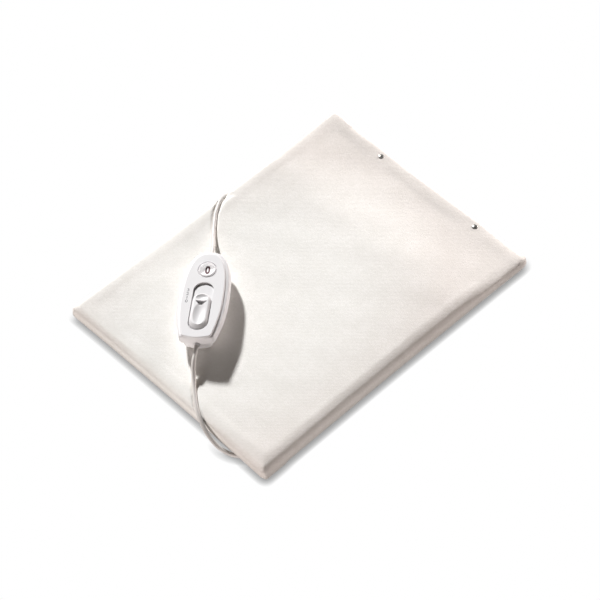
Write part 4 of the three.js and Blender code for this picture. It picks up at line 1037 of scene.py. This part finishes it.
def thumb_hollow(radius, depth, nose, tail):
    """A round tool for a hollow of some depth between two places along the slide."""
    rim = math.sqrt(2 * radius * depth - depth ** 2)
    bpy.ops.object.select_all(action="DESELECT")
    bpy.ops.mesh.primitive_uv_sphere_add(segments=96, ring_count=64, radius=radius * MM)
    tool = bpy.context.object
    bpy.ops.object.mode_set(mode="EDIT")
    bpy.ops.mesh.select_all(action="SELECT")
    bpy.ops.transform.resize(value=(1, (nose - tail) / (2 * rim), 1))
    bpy.ops.object.mode_set(mode="OBJECT")
    settle(tool, Matrix.Translation(Vector((0, (nose + tail) / 2, KNOB_TOP - depth + radius)) * MM))
    return tool


def make_knob():
    """Thumb slide: a long round-ended bar that falls away at its tail, with a thumb dish before its crest,
    and a notch and a thumb trough behind it."""
    width, low, high = KNOB
    half = (width / 2, (high - low) / 2)
    edge = [
        (KNOB_BASE, 0.25, 0.25), (20.85, 0, 0), (21, 0, 0), (21.5, 0.03, 1), (21.9, 0.1, 1.9),
        (22.4, 0.35, 2.85), (22.8, 0.85, 3.75), (23.2, 1.4, 4.6), (23.5, 1.95, 5.3), (23.65, 2.3, 5.65),
        (KNOB_TOP, 2.65, KNOB_TAIL_RUN),
    ]
    knob = draw_up("thumb_slide", stadium(width, low, high, 40), edge, half, (0, (low + high) / 2))
    shape_with(knob, thumb_hollow(21, 1.4, high - 0.8, CREST_Y))
    back, tip = CREST_Y, CREST_Y - NOTCH_LENGTH
    notch_plan = [(-6.4, back), (-0.9, tip), (0.9, tip), (6.4, back)]
    shape_with(knob, draw_up("notch", notch_plan, [(KNOB_TOP - NOTCH_DEPTH, 0), (KNOB_TOP + 1, 0)]))
    shape_with(knob, thumb_hollow(20, 1.2, CREST_Y - 2.5, low + KNOB_TAIL_RUN))
    stem = draw_up("stem", rectangle(-2.4, 2.4, STEM_Y - 4.2, STEM_Y + 4.2), [(16.7, 0), (21.2, 0)])
    shape_with(knob, stem, "UNION")
    settle(knob, CASE)
    smooth_over(knob, 40)
    dress(knob, WHITE, ("slider_knob",), "slider")


def make_lens():
    """Clear window cap: a thin domed shell with a flange under the face, and a white sleeve and lip in it
    that frame the number and glow a little with the number disc's painted light."""
    centre = (0, WINDOW_Y)
    outside = [
        (19.1, 0), (19.7, 0), (19.7, 1.4), (22.8, 1.4), (23.1, 1.5), (23.3, 1.75), (23.45, 2.3), (23.75, 4),
        (24.05, 6.2), (24.3, 8.6), (24.4, 10.6),
    ]
    lens = round_body("window_cap", LENS_FLANGE, 64, outside, centre)
    hollow = [
        (18.6, LENS_LIP), (19.35, LENS_LIP), (19.36, 0), (22.5, 0), (22.75, 0.5), (23.1, 3), (23.4, 6),
        (23.55, 8.4),
    ]
    shape_with(lens, round_body("inside", LENS_BORE, 64, hollow, centre))
    matt = []
    sleeve = []
    for face in lens.data.polygons:
        from_axis = face.center - Vector((0, WINDOW_Y * MM, face.center.z))
        lip = face.center.z < LENS_LIP_TOP * MM and from_axis.length < (LENS_BORE + 0.2) * MM
        if lip or abs(face.normal.z) < 0.8:
            outward = not lip and face.normal.dot(from_axis) > 0
            (matt if outward else sleeve).append(face.index)
    settle(lens, CASE)
    dress(lens, CLEAR, ("window_lens",))
    # The sleeve and lip glow with the number disc's painted light.
    for slot, (material, faces) in enumerate(((FROSTED, matt), (PAINTED_GLOW_DISC, sleeve)), 1):
        lens.data.materials.append(material)
        for index in faces:
            lens.data.polygons[index].material_index = slot
    smooth_over(lens)


def number_piece(name, words, height, narrow, bold, place, material, body):
    """A printed number, thin on the surface that it lies on."""
    bpy.ops.object.select_all(action="DESELECT")
    bpy.ops.object.text_add()
    text = bpy.context.object
    text.name = name
    text.data.body = words
    text.data.align_x = "CENTER"
    text.data.align_y = "CENTER"
    text.data.size = height / 0.72 * MM
    text.data.extrude = 0.02 * MM
    text.data.offset = bold * MM
    text.data.resolution_u = 8
    bpy.ops.object.convert(target="MESH")
    settle(text, place @ Matrix.Diagonal((narrow, 1, 1, 1)))
    dress(text, material, (), body)


def make_numbers():
    """Stage numbers: one each sixth of a turn on the wheel under the window, and small ones by the slide."""
    hub = Matrix.Translation(Vector((0, WHEEL_Y, WHEEL_TOP + PRINT_LIFT)) * MM)
    for stage in range(4):
        spoke = hub @ Matrix.Rotation(math.radians(-60 * stage), 4, "Z")
        place = CASE @ spoke @ Matrix.Translation((0, DIGIT_CIRCLE * MM, 0))
        number_piece(f"wheel_number_{stage}", str(stage), 10.2, 0.74, 0.6, place,
                     MAROON_INK, "indicator")
        mark = Vector((MARK_X, CREST_Y + STAGE_PITCH * stage, FACE_TOP + PRINT_LIFT)) * MM
        place = CASE @ Matrix.Translation(mark)
        number_piece(f"stage_mark_{stage}", str(stage), 3.8, 1.15, 0.06, place,
                     GREY_INK, "pad_and_case")


make_case()
make_knob()
make_lens()
make_numbers()


# Solids that stay as they are get their materials.
CARRIED = {
    "lead_gland": WHITE, "splice_block": GREY, "heating_wire": BLACK, "overheat_limiter": BLACK,
    "stud_socket": NICKEL, "stud_pin": NICKEL, "stud_rivet": NICKEL, "slider_carriage": BLACK,
    "contact_wiper": BRASS, "common_contact": BRASS, "stage_contact": BRASS, "detent_spring": STEEL,
    # The indicator wheel glows with the number disc's painted light.
    "indicator_wheel": PAINTED_GLOW_DISC, "wheel_pin": STEEL, "circuit_board": BOARD, "indicator_lamp": CLEAR,
    "thermal_fuse": BRASS, "capacitor": GREY, "power_diode": BLACK, "nose_bush": WHITE, "tail_bush": WHITE,
    "nose_clamp_screw": STEEL, "tail_clamp_screw": STEEL, "nose_clamp": GREY, "tail_clamp": GREY,
    "case_screw": STEEL,
}
for name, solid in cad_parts.items():
    material = CARRIED.get(name.rstrip("_0123456789"))
    if material:
        solid.data.materials.clear()
        solid.data.materials.append(material)


# Floor and light, in metres and watts.
FLOOR_SIZE = 14
FLOOR_DROP = 0.0002
SHADE_LEAN = (0.5, 0.7, 0.5)
SHADE_REACH = 0.008
SHADE_LEAST = 0.25
SHADE_DEPTH = 1.5
SUN_FROM = (0.308, 0.834, 0.457)
SUN_STRENGTH = 5.6
SUN_WIDTH = 4.5
CARDS = {"left_card": (-2.05, 26), "right_card": (2.05, 43)}
CARD_PLACE = (-0.65, 0.2)
CARD_AIM = (0, 0, 0.02)
CARD_SIZE = (1.2, 0.36)
SKY_STRENGTH = 0.02


def add_floor():
    """White table: it looks evenly white to the eye, darkens softly where something stands close over it,
    and lights the object like white card."""
    bpy.ops.object.select_all(action="DESELECT")
    bpy.ops.mesh.primitive_plane_add(size=FLOOR_SIZE, location=(0, 0, -FLOOR_DROP))
    floor = bpy.context.object
    floor.name = "floor"
    m = new_material("white_table")
    away = add(m, "ShaderNodeVectorMath", {0: SHADE_LEAN}, operation="NORMALIZE").outputs["Vector"]
    close_by = {"Distance": SHADE_REACH, "Normal": away}
    open_share = add(m, "ShaderNodeAmbientOcclusion", close_by, samples=12).outputs["AO"]
    deep = reckon(m, "POWER", ramp(m, open_share, 0, 1, SHADE_LEAST, 1), SHADE_DEPTH)
    seen = add(m, "ShaderNodeEmission", {"Color": ink("FFFFFF"), "Strength": deep})
    card = add(m, "ShaderNodeBsdfDiffuse", {"Color": ink("DCDAD8")})
    path = add(m, "ShaderNodeLightPath", {})
    direct = path.outputs["Is Camera Ray"]
    for other in ("Is Glossy Ray", "Is Transmission Ray"):
        direct = reckon(m, "MAXIMUM", direct, path.outputs[other])
    mixed = add(m, "ShaderNodeMixShader", {0: direct, 1: card.outputs[0], 2: seen.outputs[0]})
    close(m, mixed.outputs[0])
    floor.data.materials.append(m)


def add_lamp(name, kind, place, aim, energy, **settings):
    lamp = bpy.data.lights.new(name, kind)
    lamp.energy = energy
    for key, value in settings.items():
        setattr(lamp, key, value)
    holder = bpy.data.objects.new(name, lamp)
    bpy.context.scene.collection.objects.link(holder)
    holder.location = place
    holder.rotation_euler = (Vector(aim) - Vector(place)).to_track_quat("-Z", "Y").to_euler()


def add_light():
    """A low lamp behind the pad's far edge, a card at either side, and weak warm light all round."""
    add_lamp("key", "SUN", SUN_FROM, (0, 0, 0), SUN_STRENGTH, angle=math.radians(SUN_WIDTH))
    strip = {"shape": "RECTANGLE", "size": CARD_SIZE[0], "size_y": CARD_SIZE[1], "color": ink("FFF6F2")[:3]}
    for name, (side, watts) in CARDS.items():
        add_lamp(name, "AREA", (side, *CARD_PLACE), CARD_AIM, watts, **strip)
    world = bpy.data.worlds.new("studio")
    world.use_nodes = True
    sky = next(n for n in world.node_tree.nodes if n.type == "BACKGROUND")
    sky.inputs["Color"].default_value = ink("FFF0E2")
    sky.inputs["Strength"].default_value = SKY_STRENGTH
    bpy.context.scene.world = world
    bpy.context.scene.view_settings.view_transform = "Standard"


add_floor()
add_light()
